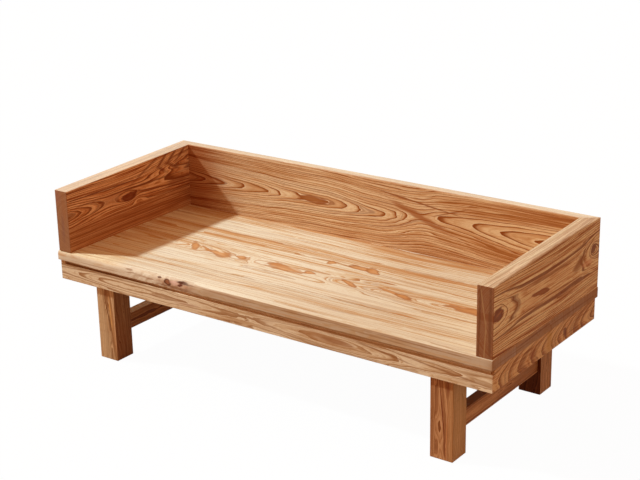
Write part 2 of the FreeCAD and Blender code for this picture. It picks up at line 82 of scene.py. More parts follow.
class Value:
    """A number that varies over a surface: one output of a node tree."""

    def __init__(self, graph: "Graph", socket: bpy.types.NodeSocket) -> None:
        """Wrap one socket of a graph."""
        self.graph = graph
        self.socket = socket

    def math(self, operation: str, *values: Number) -> "Value":
        """The result of one Math node on these values."""
        made = self.graph.node("ShaderNodeMath", {"operation": operation}, dict(enumerate(values)))
        return Value(self.graph, made.outputs[0])

    def __add__(self, other: Number) -> "Value":
        """This value plus another."""
        return self.math("ADD", self, other)

    def __radd__(self, other: Number) -> "Value":
        """Another value plus this one."""
        return self.math("ADD", other, self)

    def __sub__(self, other: Number) -> "Value":
        """This value minus another."""
        return self.math("SUBTRACT", self, other)

    def __rsub__(self, other: Number) -> "Value":
        """Another value minus this one."""
        return self.math("SUBTRACT", other, self)

    def __mul__(self, other: Number) -> "Value":
        """This value times another."""
        return self.math("MULTIPLY", self, other)

    def __rmul__(self, other: Number) -> "Value":
        """Another value times this one."""
        return self.math("MULTIPLY", other, self)

    def __truediv__(self, other: Number) -> "Value":
        """This value divided by another."""
        return self.math("DIVIDE", self, other)

    def __neg__(self) -> "Value":
        """This value with its sign turned."""
        return self.math("MULTIPLY", self, -1.0)

    def root(self) -> "Value":
        """The square root."""
        return self.math("SQRT", self)

    def exponential(self) -> "Value":
        """The exponential function."""
        return self.math("EXPONENT", self)

    def fraction(self) -> "Value":
        """What is left after the whole number below."""
        return self.math("FRACT", self)

    def larger(self, other: Number) -> "Value":
        """The larger of two values."""
        return self.math("MAXIMUM", self, other)

    def eased(self, low: float, high: float) -> "Value":
        """A soft step over this value.

        Args:
            low: Where the step is 0.
            high: Where it is 1, which may lie below the first.

        Returns:
            The height of the step.
        """
        limits = {"Value": self, "From Min": low, "From Max": high}
        made = self.graph.node("ShaderNodeMapRange", {"interpolation_type": "SMOOTHSTEP"}, limits)
        return Value(self.graph, made.outputs[0])


class Graph:
    """A node tree that is built with plain expressions."""

    def __init__(self, tree: bpy.types.NodeTree) -> None:
        """Start on an empty tree."""
        self.tree = tree
        self.tree.nodes.clear()

    def node(self, kind: str, settings: Mapping[str, Any], inputs: Mapping[Any, Any]) -> bpy.types.Node:
        """Add one node.

        Args:
            kind: The node's type.
            settings: Its own settings, and a ramp's stops as pairs of place and colour.
            inputs: A value or link for each socket, by name or place.

        Returns:
            The new node.
        """
        made = self.tree.nodes.new(kind)
        for name, setting in settings.items():
            if name == "stops":
                self.set_stops(made.color_ramp, setting)
            elif name == "blending":
                made.color_ramp.interpolation = setting
            else:
                setattr(made, name, setting)
        for name, value in inputs.items():
            source = value.socket if isinstance(value, Value) else value
            if isinstance(source, bpy.types.NodeSocket):
                self.tree.links.new(source, made.inputs[name])
            else:
                made.inputs[name].default_value = source
        return made

    @staticmethod
    def set_stops(ramp: bpy.types.ColorRamp, stops: Sequence[tuple[float, Sequence[float]]]) -> None:
        """Give a ramp its stops.

        Args:
            ramp: The ramp of a new node.
            stops: Places in rising order, each with its colour in linear light.
        """
        while len(ramp.elements) < len(stops):
            ramp.elements.new(1.0)
        for element, (place, colour) in zip(ramp.elements, stops):
            element.position = place
            element.color = colour

    def split(self, vector: bpy.types.NodeSocket) -> tuple[Value, Value, Value]:
        """The three parts of a vector."""
        made = self.node("ShaderNodeSeparateXYZ", {}, {0: vector})
        return tuple(Value(self, output) for output in made.outputs)

    def noise(self, place: Sequence[Number], detail: float) -> Value:
        """Smooth noise about one half.

        Args:
            place: The three parts of the place at which to read it.
            detail: How many finer layers it has.

        Returns:
            The noise there.
        """
        vector = self.node("ShaderNodeCombineXYZ", {}, dict(enumerate(place))).outputs[0]
        inputs = {"Vector": vector, "Scale": 1.0, "Detail": detail}
        made = self.node("ShaderNodeTexNoise", {"noise_dimensions": "3D"}, inputs)
        return Value(self, made.outputs[0])

    def curve(self, value: Value, stops: Sequence[tuple[float, float]]) -> Value:
        """A smooth curve through stops of place and height.

        Args:
            value: The place at which to read the curve.
            stops: Places in rising order, each with its height.

        Returns:
            The curve's height there.
        """
        start, end = stops[0][0], stops[-1][0]
        low = min(height for _, height in stops)
        rise = max(height for _, height in stops) - low
        shares = []
        for place, height in stops:
            share = (height - low) / rise
            shares.append(((place - start) / (end - start), (share, share, share, 1.0)))
        settings = {"blending": "CARDINAL", "stops": shares}
        made = self.node("ShaderNodeValToRGB", settings, {0: (value - start) / (end - start)})
        return Value(self, made.outputs[0]) * rise + low

    def ramp(self, value: Value, stops: Sequence[tuple[float, Colour]]) -> bpy.types.NodeSocket:
        """A colour that follows a value through some stops."""
        colours = [(place, linear(colour)) for place, colour in stops]
        return self.node("ShaderNodeValToRGB", {"stops": colours}, {0: value}).outputs[0]

    def blend(self, share: Number, first: Any, second: Any, kind: str = "MIX") -> bpy.types.NodeSocket:
        """A mix of two colours.

        Args:
            share: 0 for the first colour, 1 for the second.
            first: The first colour.
            second: The second one, or what it is multiplied by.
            kind: How the second one is laid over the first.

        Returns:
            The mixed colour.
        """
        inputs = {MIX_SHARE: share, MIX_FIRST: first, MIX_SECOND: second}
        made = self.node("ShaderNodeMix", {"data_type": "RGBA", "blend_type": kind}, inputs)
        return made.outputs[MIX_RESULT]

    def cover(self, output: str, share: Value, first: bpy.types.Node, second: bpy.types.Node) -> None:
        """Finish the tree with a mix of two shaders.

        Args:
            output: The type of its output node.
            share: 0 for the first shader, 1 for the second.
            first: The first shader.
            second: The second one.
        """
        inputs = {0: share, 1: first.outputs[0], 2: second.outputs[0]}
        mixed = self.node("ShaderNodeMixShader", {}, inputs)
        self.node(output, {}, {"Surface": mixed.outputs[0]})


class Axis(Enum):
    """An axis of the bed, by its place in a vector."""

    LENGTH = 0
    DEPTH = 1
    HEIGHT = 2


class Lay(Enum):
    """How a board lies in the bed: the axes along its grain, across its face and through it."""

    SEAT = (Axis.LENGTH, Axis.DEPTH, Axis.HEIGHT)
    CROSS = (Axis.DEPTH, Axis.LENGTH, Axis.HEIGHT)
    LONG = (Axis.LENGTH, Axis.HEIGHT, Axis.DEPTH)
    END = (Axis.DEPTH, Axis.HEIGHT, Axis.LENGTH)
    POST = (Axis.HEIGHT, Axis.LENGTH, Axis.DEPTH)


class Side(Enum):
    """A side of a piece, by its axis and the sign of the direction it looks to."""

    FRONT = (Axis.DEPTH, -1.0)
    RIGHT = (Axis.LENGTH, 1.0)
    TOP = (Axis.HEIGHT, 1.0)


class Coat(Enum):
    """How a face's own colour meets the wood under it."""

    COVER = "MIX"
    TINT = "MULTIPLY"


class Noise(Enum):
    """The noises of a wood: the scale along the grain, the scale beside it and the detail of each.

    For the three that change from ring to ring, the second scale counts in rings.
    """

    WAVER = (9.0, 42.0, 2.0)
    CLOUD = (1.6, 11.0, 2.0)
    FIBRE = (12.0, 430.0, 3.0)
    PORE = (55.0, 1500.0, 0.0)
    RAGGED = (18.0, 60.0, 2.0)
    RING_TONE = (1.5, 0.63, 1.0)
    RING_STREAK = (3.0, 1.3, 2.0)
    RING_HAIR = (1.3, 1.9, 1.0)


class Step(Enum):
    """Where each soft step starts and ends."""

    LATE_WOOD = (0.40, 0.97)
    EARLY_WOOD = (0.02, 0.18)
    MINOR_RING = (0.45, 0.95)
    RING_LINE = (0.76, 0.96)
    STRONG_RING = (0.30, 0.62)
    HAIR = (0.58, 0.68)
    PORE = (0.62, 0.72)
    BRINK_RISE = (0.35, 0.95)
    BRINK_FALL = (0.95, 1.20)
    FACING = (0.35, 0.85)


TONE_PLACES = (0.12, 0.36, 0.60, 0.84)
LEAST_TAPER = 0.05
RAGGED_REACH = 1.3
# The scales of noises that a wood sets in part.
SLOW_FINENESS = 6.0
GRIT_STRETCH = 4.5
WIDTH_PACE = (0.4, 0.5)
HAIR_SHIFT = 5.0
# The fine rings between two rings, and how far noise moves them, the crest and the bands.
MINOR_RINGS = 2.7
MINOR_WAVER = 0.8
CREST_WAVER = 0.02
BAND_WAVER = 0.04
# What each thing weighs in the tone.
RING_WEIGHT = 1.3
MINOR_WEIGHT = 2.0
LATE_WEIGHT = 0.30
EARLY_WEIGHT = 0.22
CLOUD_WEIGHT = 0.5


@dataclass(frozen=True)
class Tones:
    """The colours of a wood from its palest to its darkest, and that of its ring lines."""

    pale: Colour
    clear: Colour
    warm: Colour
    deep: Colour
    line: Colour

    def stops(self) -> list[tuple[float, Colour]]:
        """The four main colours as the stops of a ramp, from dark to pale."""
        return list(zip(TONE_PLACES, (self.deep, self.warm, self.clear, self.pale)))


@dataclass(frozen=True)
class Swirl:
    """A hump in the growth rings where a branch or a bend turned them.

    Its place and reach along and across come first, then the rings that it adds at its top.
    """

    along: float
    across: float
    reach_along: float
    reach_across: float
    rings: float
    lean: float = 0.0

    def on(self, along: Value, across: Value) -> Value:
        """The rings that this hump adds.

        Args:
            along: The place along the grain.
            across: The place across it.

        Returns:
            The number of rings added there.
        """
        forward = along - self.along
        first = forward / self.reach_along
        second = (across - self.across - forward * self.lean) / self.reach_across
        return (-(first * first + second * second)).exponential() * self.rings


@dataclass(frozen=True)
class Stain:
    """A patch of one colour, where late wood lies flat in the face or a knot was cut.

    Its place and half size along and across come first, then its colour, how strongly it covers and how
    soft its edge is.
    """

    along: float
    across: float
    half_along: float
    half_across: float
    colour: Colour
    strength: float = 0.9
    soft: float = 0.25
    lean: float = 0.0
    taper: float = 0.0
    outline: float = 0.0

    def lay(
        self, graph: Graph, colour: Any, along: Value, across: Value, ragged: Value, ink: Colour
    ) -> Any:
        """Lay the patch over a colour.

        Args:
            graph: The node tree to build in.
            colour: The colour so far.
            along: The place along the patch.
            across: The place across it.
            ragged: How far its edge strays there.
            ink: The colour of its outline, where it has one.

        Returns:
            The new colour.
        """
        forward = along - self.along
        first = forward / self.half_along
        second = (across - self.across - forward * self.lean) / self.half_across
        if self.taper:
            second = second / (1.0 - first * self.taper).larger(LEAST_TAPER)
        reach = (first * first + second * second).root() + ragged
        inside = 1.0 - reach.eased(1.0 - self.soft, 1.0 + self.soft)
        colour = graph.blend(inside * self.strength, colour, linear(self.colour))
        if self.outline:
            brink = reach.eased(*Step.BRINK_RISE.value) * (1.0 - reach.eased(*Step.BRINK_FALL.value))
            colour = graph.blend(brink * self.outline, colour, linear(ink))
        return colour


@dataclass(frozen=True)
class Flame:
    """The dark late wood that shows broad where the face runs close to the heart."""

    colour: Colour
    reach: float = 0.035
    start: float = 0.50
    end: float = 0.92
    share: float = 0.8


@dataclass(frozen=True)
class Face:
    """What sets one side of a board apart: its colour, and marks placed by two axes.

    It may come in between a start and an end along the first of those axes, or else it is there in full.
    """

    side: Side
    colour: Colour
    share: float = 1.0
    coat: Coat = Coat.COVER
    axes: tuple[Axis, Axis] = (Axis.LENGTH, Axis.HEIGHT)
    marks: tuple[Stain, ...] = ()
    start: float = -9.0
    end: float = -8.0

    def paint(
        self, graph: Graph, colour: Any, place: Sequence[Value], facing: Sequence[Value], ragged: Value
    ) -> Any:
        """Lay this side's colour and marks over the wood.

        Args:
            graph: The node tree to build in.
            colour: The wood's colour so far.
            place: The three parts of the place.
            facing: The three parts of the direction that the surface looks to.
            ragged: How far the edges of marks stray.

        Returns:
            The new colour.
        """
        along, across = (place[axis.value] for axis in self.axes)
        axis, sign = self.side.value
        looks = (facing[axis.value] * sign).eased(*Step.FACING.value)
        skin = graph.blend(self.share, colour, linear(self.colour), self.coat.value)
        for mark in self.marks:
            skin = mark.lay(graph, skin, along, across, ragged, BARK)
        return graph.blend(looks * along.eased(self.start, self.end), colour, skin)


@dataclass(frozen=True)
class Finish:
    """The dry, hardly polished surface that all the boards share."""

    roughness: float = 0.48
    rough_fibre: float = 0.12
    rough_pore: float = 0.15
    gloss: float = 0.06
    pore_share: float = 0.45
    pore_fade: float = 0.3
    fibre_height: float = 0.5
    late_depth: float = 0.2
    pore_depth: float = 0.6
    relief: float = 0.3
    relief_height: float = 0.0006

    def lay(
        self, graph: Graph, colour: Any, deep: Colour, fibre: Value, late: Value, pore: Value
    ) -> None:
        """Sink the pores into a colour and turn it into a surface with a fine relief.

        Args:
            graph: The node tree to build in.
            colour: The wood's colour.
            deep: The colour of its pores.
            fibre: The noise of its fibres.
            late: Where its late wood lies.
            pore: Where its pores lie.
        """
        colour = graph.blend(pore * (self.pore_share - late * self.pore_fade), colour, linear(deep))
        height = fibre * self.fibre_height - late * self.late_depth - pore * self.pore_depth
        relief = {"Strength": self.relief, "Distance": self.relief_height, "Height": height}
        inputs = {
            "Base Color": colour,
            "Roughness": self.roughness + fibre * self.rough_fibre + pore * self.rough_pore,
            "Normal": graph.node("ShaderNodeBump", {}, relief).outputs[0],
            "Specular IOR Level": self.gloss,
        }
        shader = graph.node("ShaderNodeBsdfPrincipled", {}, inputs)
        graph.node("ShaderNodeOutputMaterial", {}, {"Surface": shader.outputs[0]})


@dataclass(frozen=True)
class Wood:
    """One board's wood. Its rings stand round a heart that runs along the grain.

    The face is given by its place through the board, and the heart by its places across and through it.
    The crest gives the rings gained along the grain, so that a whole number stands where the tip of a
    flame is wanted. The path gives how far the heart strays across, and the bands give broad changes of
    tone across the face. Bend, sway, uneven and ripple move the rings, and hold keeps them still near
    the heart. Contrast, streaks, minors, grit and fine give the tone its play round the base, and quiet
    takes it back near the heart. Lines and hairs ink the rings, and calm keeps lines near the heart.
    """

    name: str
    tones: Tones
    flame: Flame
    lay: Lay
    face: float
    heart: tuple[float, float]
    seed: float
    ring: float = 0.010
    crest: Curve = ()
    crest_reach: float = 0.10
    crest_slant: float = 0.0
    path: Curve = ()
    hold: float = 0.8
    bands: Curve = ()
    swirls: tuple[Swirl, ...] = ()
    stains: tuple[Stain, ...] = ()
    faces: tuple[Face, ...] = ()
    bend: float = 1.1
    sway: float = 2.0
    uneven: float = 2.0
    ripple: float = 0.4
    contrast: float = 1.0
    streaks: float = 0.9
    minors: float = 0.22
    grit: float = 0.5
    grit_scale: float = 150.0
    calm: float = 0.45
    quiet: float = 0.0
    fine: float = 0.3
    lines: float = 0.6
    hairs: float = 0.35
    base: float = 0.62
    finish: Finish = Finish()

    def material(self) -> bpy.types.Material:
        """Build the board's material.

        Returns:
            A new material that reads only the object's own coordinates and normal.
        """
        made = bpy.data.materials.new(self.name)
        made.use_nodes = True
        graph = Graph(made.node_tree)
        source = graph.node("ShaderNodeTexCoord", {}, {})
        place = graph.split(source.outputs["Object"])
        facing = graph.split(source.outputs["Normal"])
        along, across, through = (place[axis.value] for axis in self.lay.value)

        def drawn(stretch: float, fineness: float, detail: float, shift: float = 0.0) -> Value:
            """Noise that is drawn out along the grain."""
            return graph.noise((along * stretch + shift, across * fineness, through * fineness), detail)

        def ringed(stretch: float, pace: float, detail: float, shift: float = 0.0) -> Value:
            """Noise that changes from ring to ring."""
            return graph.noise((along * stretch, rings * pace + self.seed, self.seed + shift), detail)

        beside = across - self.heart[0]
        if self.path:
            beside = beside - graph.curve(along, self.path)
        behind = through - self.heart[1]
        near = (-(beside * beside) / (self.flame.reach * self.flame.reach)).exponential()
        slow = drawn(self.bend, SLOW_FINENESS, 1.0, self.seed) - 0.5
        waver = drawn(*Noise.WAVER.value, self.seed) - 0.5
        depth = abs(self.face - self.heart[1])
        rings = ((beside * beside + behind * behind).root() - depth) / self.ring
        stretch, pace = WIDTH_PACE
        width = graph.noise((along * stretch + self.seed, rings * pace, self.seed), 1.0) - 0.5
        free = 1.0 - near * self.hold
        rings = rings + (slow * self.sway + width * self.uneven) * free + waver * self.ripple
        if self.crest:
            fade = (-(beside * beside) / self.crest_reach**2).exponential()
            forward = along + beside * self.crest_slant + waver * CREST_WAVER
            rings = rings + graph.curve(forward, self.crest) * fade
        for swirl in self.swirls:
            rings = rings + swirl.on(along, across)

        phase = rings.fraction()
        late = phase.eased(*Step.LATE_WOOD.value)
        early = 1.0 - phase.eased(*Step.EARLY_WOOD.value)
        each = ringed(*Noise.RING_TONE.value)
        streak = ringed(*Noise.RING_STREAK.value)
        between = (rings * MINOR_RINGS + waver * MINOR_WAVER).fraction()
        minor = between.eased(*Step.MINOR_RING.value) * streak * (MINOR_WEIGHT * self.minors)
        grit = drawn(GRIT_STRETCH, self.grit_scale, 2.0) - 0.5
        cloud = drawn(*Noise.CLOUD.value, self.seed)
        fibre = drawn(*Noise.FIBRE.value)
        pore = drawn(*Noise.PORE.value).eased(*Step.PORE.value)
        uneven_tone = (each - 0.5) * (RING_WEIGHT * self.contrast) + (streak - 0.5) * self.streaks - minor
        tone = self.base + uneven_tone * (1.0 - near.root() * self.quiet)
        tone = tone - late * (LATE_WEIGHT * self.contrast) + early * EARLY_WEIGHT
        tone = tone + (cloud - 0.5) * CLOUD_WEIGHT + (fibre - 0.5) * self.fine + grit * self.grit
        if self.bands:
            tone = tone + graph.curve(across + slow * BAND_WAVER, self.bands)

        colour = graph.ramp(tone, self.tones.stops())
        ink = linear(self.tones.line)
        line = phase.eased(*Step.RING_LINE.value) * each.eased(*Step.STRONG_RING.value) * self.lines
        colour = graph.blend(line * (1.0 - (1.0 - near) * self.calm), colour, ink)
        hair = ringed(*Noise.RING_HAIR.value, HAIR_SHIFT).eased(*Step.HAIR.value)
        colour = graph.blend(hair * self.hairs, colour, ink)
        flame = phase.eased(self.flame.start, self.flame.end) * near * self.flame.share
        colour = graph.blend(flame, colour, linear(self.flame.colour))
        ragged = (drawn(*Noise.RAGGED.value, self.seed) - 0.5) * RAGGED_REACH
        for stain in self.stains:
            colour = stain.lay(graph, colour, along, across, ragged, self.tones.line)
        for face in self.faces:
            colour = face.paint(graph, colour, place, facing, ragged)
        self.finish.lay(graph, colour, self.tones.deep, fibre, late, pore)
        return made

    def dress(self, *names: str) -> bpy.types.Material:
        """Give this wood to pieces of the frame.

        Args:
            names: The nodes that are cut from it.

        Returns:
            The material that they wear.
        """
        material = self.material()
        for name in names:
            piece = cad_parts[name]
            piece.data.materials.clear()
            piece.data.materials.append(material)
            LOG.info("%s in %s", name, self.name)
        return material


CREAM = Tones((239, 232, 208), (231, 217, 187), (220, 190, 148), (202, 150, 98), (160, 98, 50))
GOLD = Tones((240, 217, 178), (222, 184, 139), (204, 152, 103), (172, 112, 62), (146, 76, 31))
RUSSET = Tones((242, 192, 142), (214, 148, 96), (186, 116, 68), (147, 73, 30), (106, 36, 8))
UMBER = Tones((252, 234, 190), (234, 196, 148), (208, 160, 112), (170, 106, 54), (134, 70, 24))
STRAW = Tones((242, 221, 186), (222, 190, 148), (202, 160, 116), (172, 120, 77), (142, 88, 50))
OLIVE = Tones((240, 208, 158), (220, 172, 121), (198, 144, 96), (160, 104, 58), (124, 70, 34))
CHESTNUT = Tones((240, 206, 160), (214, 172, 126), (190, 145, 100), (150, 102, 62), (116, 70, 40))
ORANGE_PATCH: Colour = (212, 154, 96)
DEEP_PATCH: Colour = (202, 141, 82)
PALE_GRAIN: Colour = (240, 224, 190)
BROWN_PATCH: Colour = (172, 112, 64)
CHEVRON: Colour = (124, 54, 20)
KNOT: Colour = (136, 84, 54)
BARK: Colour = (72, 34, 24)
PALE_RIM: Colour = (236, 230, 206)
TAN_RIM: Colour = (200, 181, 152)


@dataclass(frozen=True)
class WaneyPlank:
    """The front plank of the seat, modelled with the uneven edge that the tree gave it.

    Each move of the edge names the vertices that take part, a direction, a depth and the length over
    which it comes and goes, or 0 where it is the same all along.
    """

    node: str = "seat_plank_1"
    slot: str = "seat_wood"
    tongue_thickness: float = 0.012
    tongue_depth: float = 0.010
    tongue_stop: float = 0.030
    arris: float = 0.002
    arris_facets: int = 2
    front_arris: float = 0.004
    front_facets: int = 6
    row_step: float = 0.005
    coarse_step: float = 0.016
    fine_step: float = 0.004
    knots_start: float = -0.66
    knots_end: float = -0.24
    edge_reach: float = 0.018
    arm_margin: float = 0.075
    wane_start: float = 0.10
    wane_full: float = -0.35
    least_wane: float = 0.1
    crease: float = math.radians(35)
    moves: tuple[tuple[str, str, float, float], ...] = (
        ("lip", "Y", 0.006, 0.0),
        ("lip", "Z", -0.004, 0.0),
        ("edge", "Y", 0.006, 0.11),
        ("edge", "Z", -0.005, 0.06),
        ("knots", "Y", 0.006, 0.018),
    )

    def select(self, plank: bpy.types.Object, kind: str, wanted: Callable[[Any], bool]) -> None:
        """Select only the edges or faces that pass a test.

        Args:
            plank: The piece in edit mode.
            kind: EDGE or FACE.
            wanted: The test for one element.
        """
        bpy.ops.mesh.select_mode(type=kind)
        bpy.ops.mesh.select_all(action="DESELECT")
        mesh = bmesh.from_edit_mesh(plank.data)
        elements = mesh.edges if kind == "EDGE" else mesh.faces
        for element in elements:
            if wanted(element):
                element.select_set(True)
        bmesh.update_edit_mesh(plank.data)

    def cut(self, axis: Axis, place: float) -> None:
        """Cut the whole plank across, without taking anything away.

        Args:
            axis: The axis that the cut stands square to.
            place: Where it lies on that axis.
        """
        point, normal = Vector(), Vector()
        point[axis.value] = place
        normal[axis.value] = 1.0
        bpy.ops.mesh.select_all(action="SELECT")
        bpy.ops.mesh.bisect(plane_co=point, plane_no=normal)

    def saw(self) -> bpy.types.Object:
        """Saw the plank to size and give it its tongue.

        Returns:
            The plank in edit mode, with sharp arrises.
        """
        low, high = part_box(self.node)
        rear = high.y - self.tongue_depth
        middle = (low.z + high.z) / 2
        size = (high.x - low.x, rear - low.y, high.z - low.z)
        bpy.ops.object.select_all(action="DESELECT")
        centre = ((low.x + high.x) / 2, (low.y + rear) / 2, middle)
        bpy.ops.mesh.primitive_cube_add(size=1, location=centre, scale=size)
        plank = bpy.context.object
        plank.name = "waney_front_plank"
        bpy.ops.object.transform_apply(location=True, rotation=True, scale=True)
        bpy.ops.object.mode_set(mode="EDIT")
        for side in (-1, 1):
            self.cut(Axis.HEIGHT, middle + side * self.tongue_thickness / 2)
        for place in (low.x + self.tongue_stop, high.x - self.tongue_stop):
            self.cut(Axis.LENGTH, place)
        reach = Vector((high.x - self.tongue_stop, 0, self.tongue_thickness / 2))

        def is_tongue(face: bmesh.types.BMFace) -> bool:
            """Whether a face is the root of the tongue."""
            place = face.calc_center_median()
            return face.normal.y > 0.5 and abs(place.x) < reach.x and abs(place.z - middle) < reach.z

        self.select(plank, "FACE", is_tongue)
        bpy.ops.mesh.extrude_region_move(TRANSFORM_OT_translate={"value": (0, self.tongue_depth, 0)})
        return plank

    def round_arrises(self, plank: bpy.types.Object) -> None:
        """Round the upper front arris well and the other arrises of the box a little.

        Args:
            plank: The piece in edit mode.
        """
        low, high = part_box(self.node)
        rear = high.y - self.tongue_depth
        sides = ((0, low.x), (0, high.x), (1, low.y), (1, rear), (2, low.z), (2, high.z))

        def on_sides(edge: bmesh.types.BMEdge) -> list[tuple[int, float]]:
            """The sides of the box that an edge lies in."""
            ends = [end.co for end in edge.verts]
            return [(axis, at) for axis, at in sides if all(abs(end[axis] - at) < TOUCH for end in ends)]

        front_top = [(1, low.y), (2, high.z)]
        self.select(plank, "EDGE", lambda edge: on_sides(edge) == front_top)
        bpy.ops.mesh.bevel(offset=self.front_arris, segments=self.front_facets, profile=0.5, affect="EDGES")
        self.select(plank, "EDGE", lambda edge: len(on_sides(edge)) == 2)
        bpy.ops.mesh.bevel(offset=self.arris, segments=self.arris_facets, profile=0.5, affect="EDGES")

    def refine(self, plank: bpy.types.Object) -> None:
        """Divide the plank finely enough for its uneven edge.

        Args:
            plank: The piece in edit mode.
        """
        low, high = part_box(self.node)
        rows = int((high.z - low.z - self.front_arris) / self.row_step)
        for row in range(1, rows):
            self.cut(Axis.HEIGHT, low.z + self.arris + row * self.row_step)
        self.cut(Axis.DEPTH, low.y + self.edge_reach)
        for place in (self.knots_start, self.knots_end):
            self.cut(Axis.LENGTH, place)
        start, end = low.x + self.tongue_stop, high.x - self.tongue_stop
        spans = (
            (start, self.knots_start, self.coarse_step),
            (self.knots_start, self.knots_end, self.fine_step),
            (self.knots_end, end, self.coarse_step),
        )
        for first, last, step in spans:

            def spans_all(edge: bmesh.types.BMEdge) -> bool:
                """Whether an edge runs from one end of this span to the other."""
                ends = sorted(vertex.co.x for vertex in edge.verts)
                return abs(ends[0] - first) < TOUCH and abs(ends[1] - last) < TOUCH

            self.select(plank, "EDGE", spans_all)
            bpy.ops.mesh.subdivide(number_cuts=int((last - first) / step))

    def wear(self, plank: bpy.types.Object) -> None:
        """Let the front edge wander in and down, and roughen it round the knots.

        Args:
            plank: The piece in object mode.
        """
        low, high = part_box(self.node)
        free = high.x - self.arm_margin
        middle = (self.knots_start + self.knots_end) / 2
        half = (self.knots_end - self.knots_start) / 2
        edge, lip, knots = (plank.vertex_groups.new(name=name) for name in ("edge", "lip", "knots"))
        for vertex in plank.data.vertices:
            place = vertex.co
            forward = 1.0 - (place.y - low.y) / self.edge_reach
            if forward <= 0:
                continue
            inside = min(1.0, max(0.0, (free - abs(place.x)) / self.arm_margin))
            wane = (place.x - self.wane_start) / (self.wane_full - self.wane_start)
            edge.add([vertex.index], forward * inside * min(1.0, max(self.least_wane, wane)), "REPLACE")
            above = max(0.0, 2.0 * (place.z - low.z) / (high.z - low.z) - 1.0)
            lip.add([vertex.index], forward * above * above * min(1.0, max(0.0, wane)), "REPLACE")
            near = min(1.0, max(0.0, 2.0 - 2.0 * abs(place.x - middle) / half))
            knots.add([vertex.index], forward * near, "REPLACE")
        for group, direction, depth, length in self.moves:
            name = f"{group}_{direction}"
            modifier = plank.modifiers.new(name, "DISPLACE")
            if length:
                modifier.texture = bpy.data.textures.new(name, "CLOUDS")
                modifier.texture.noise_scale = length
            modifier.direction = direction
            modifier.mid_level = 0.0
            modifier.strength = depth
            modifier.vertex_group = group
            bpy.ops.object.modifier_apply(modifier=name)

    def build(self) -> bpy.types.Object:
        """Model the plank in the place of the frame's own.

        Returns:
            The finished piece.
        """
        plank = self.saw()
        self.round_arrises(plank)
        self.refine(plank)
        bpy.ops.object.mode_set(mode="OBJECT")
        self.wear(plank)
        bpy.ops.object.shade_smooth_by_angle(angle=self.crease)
        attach(plank, "root")
        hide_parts(self.node)
        LOG.info("%s in place of %s", plank.name, self.node)
        return plank


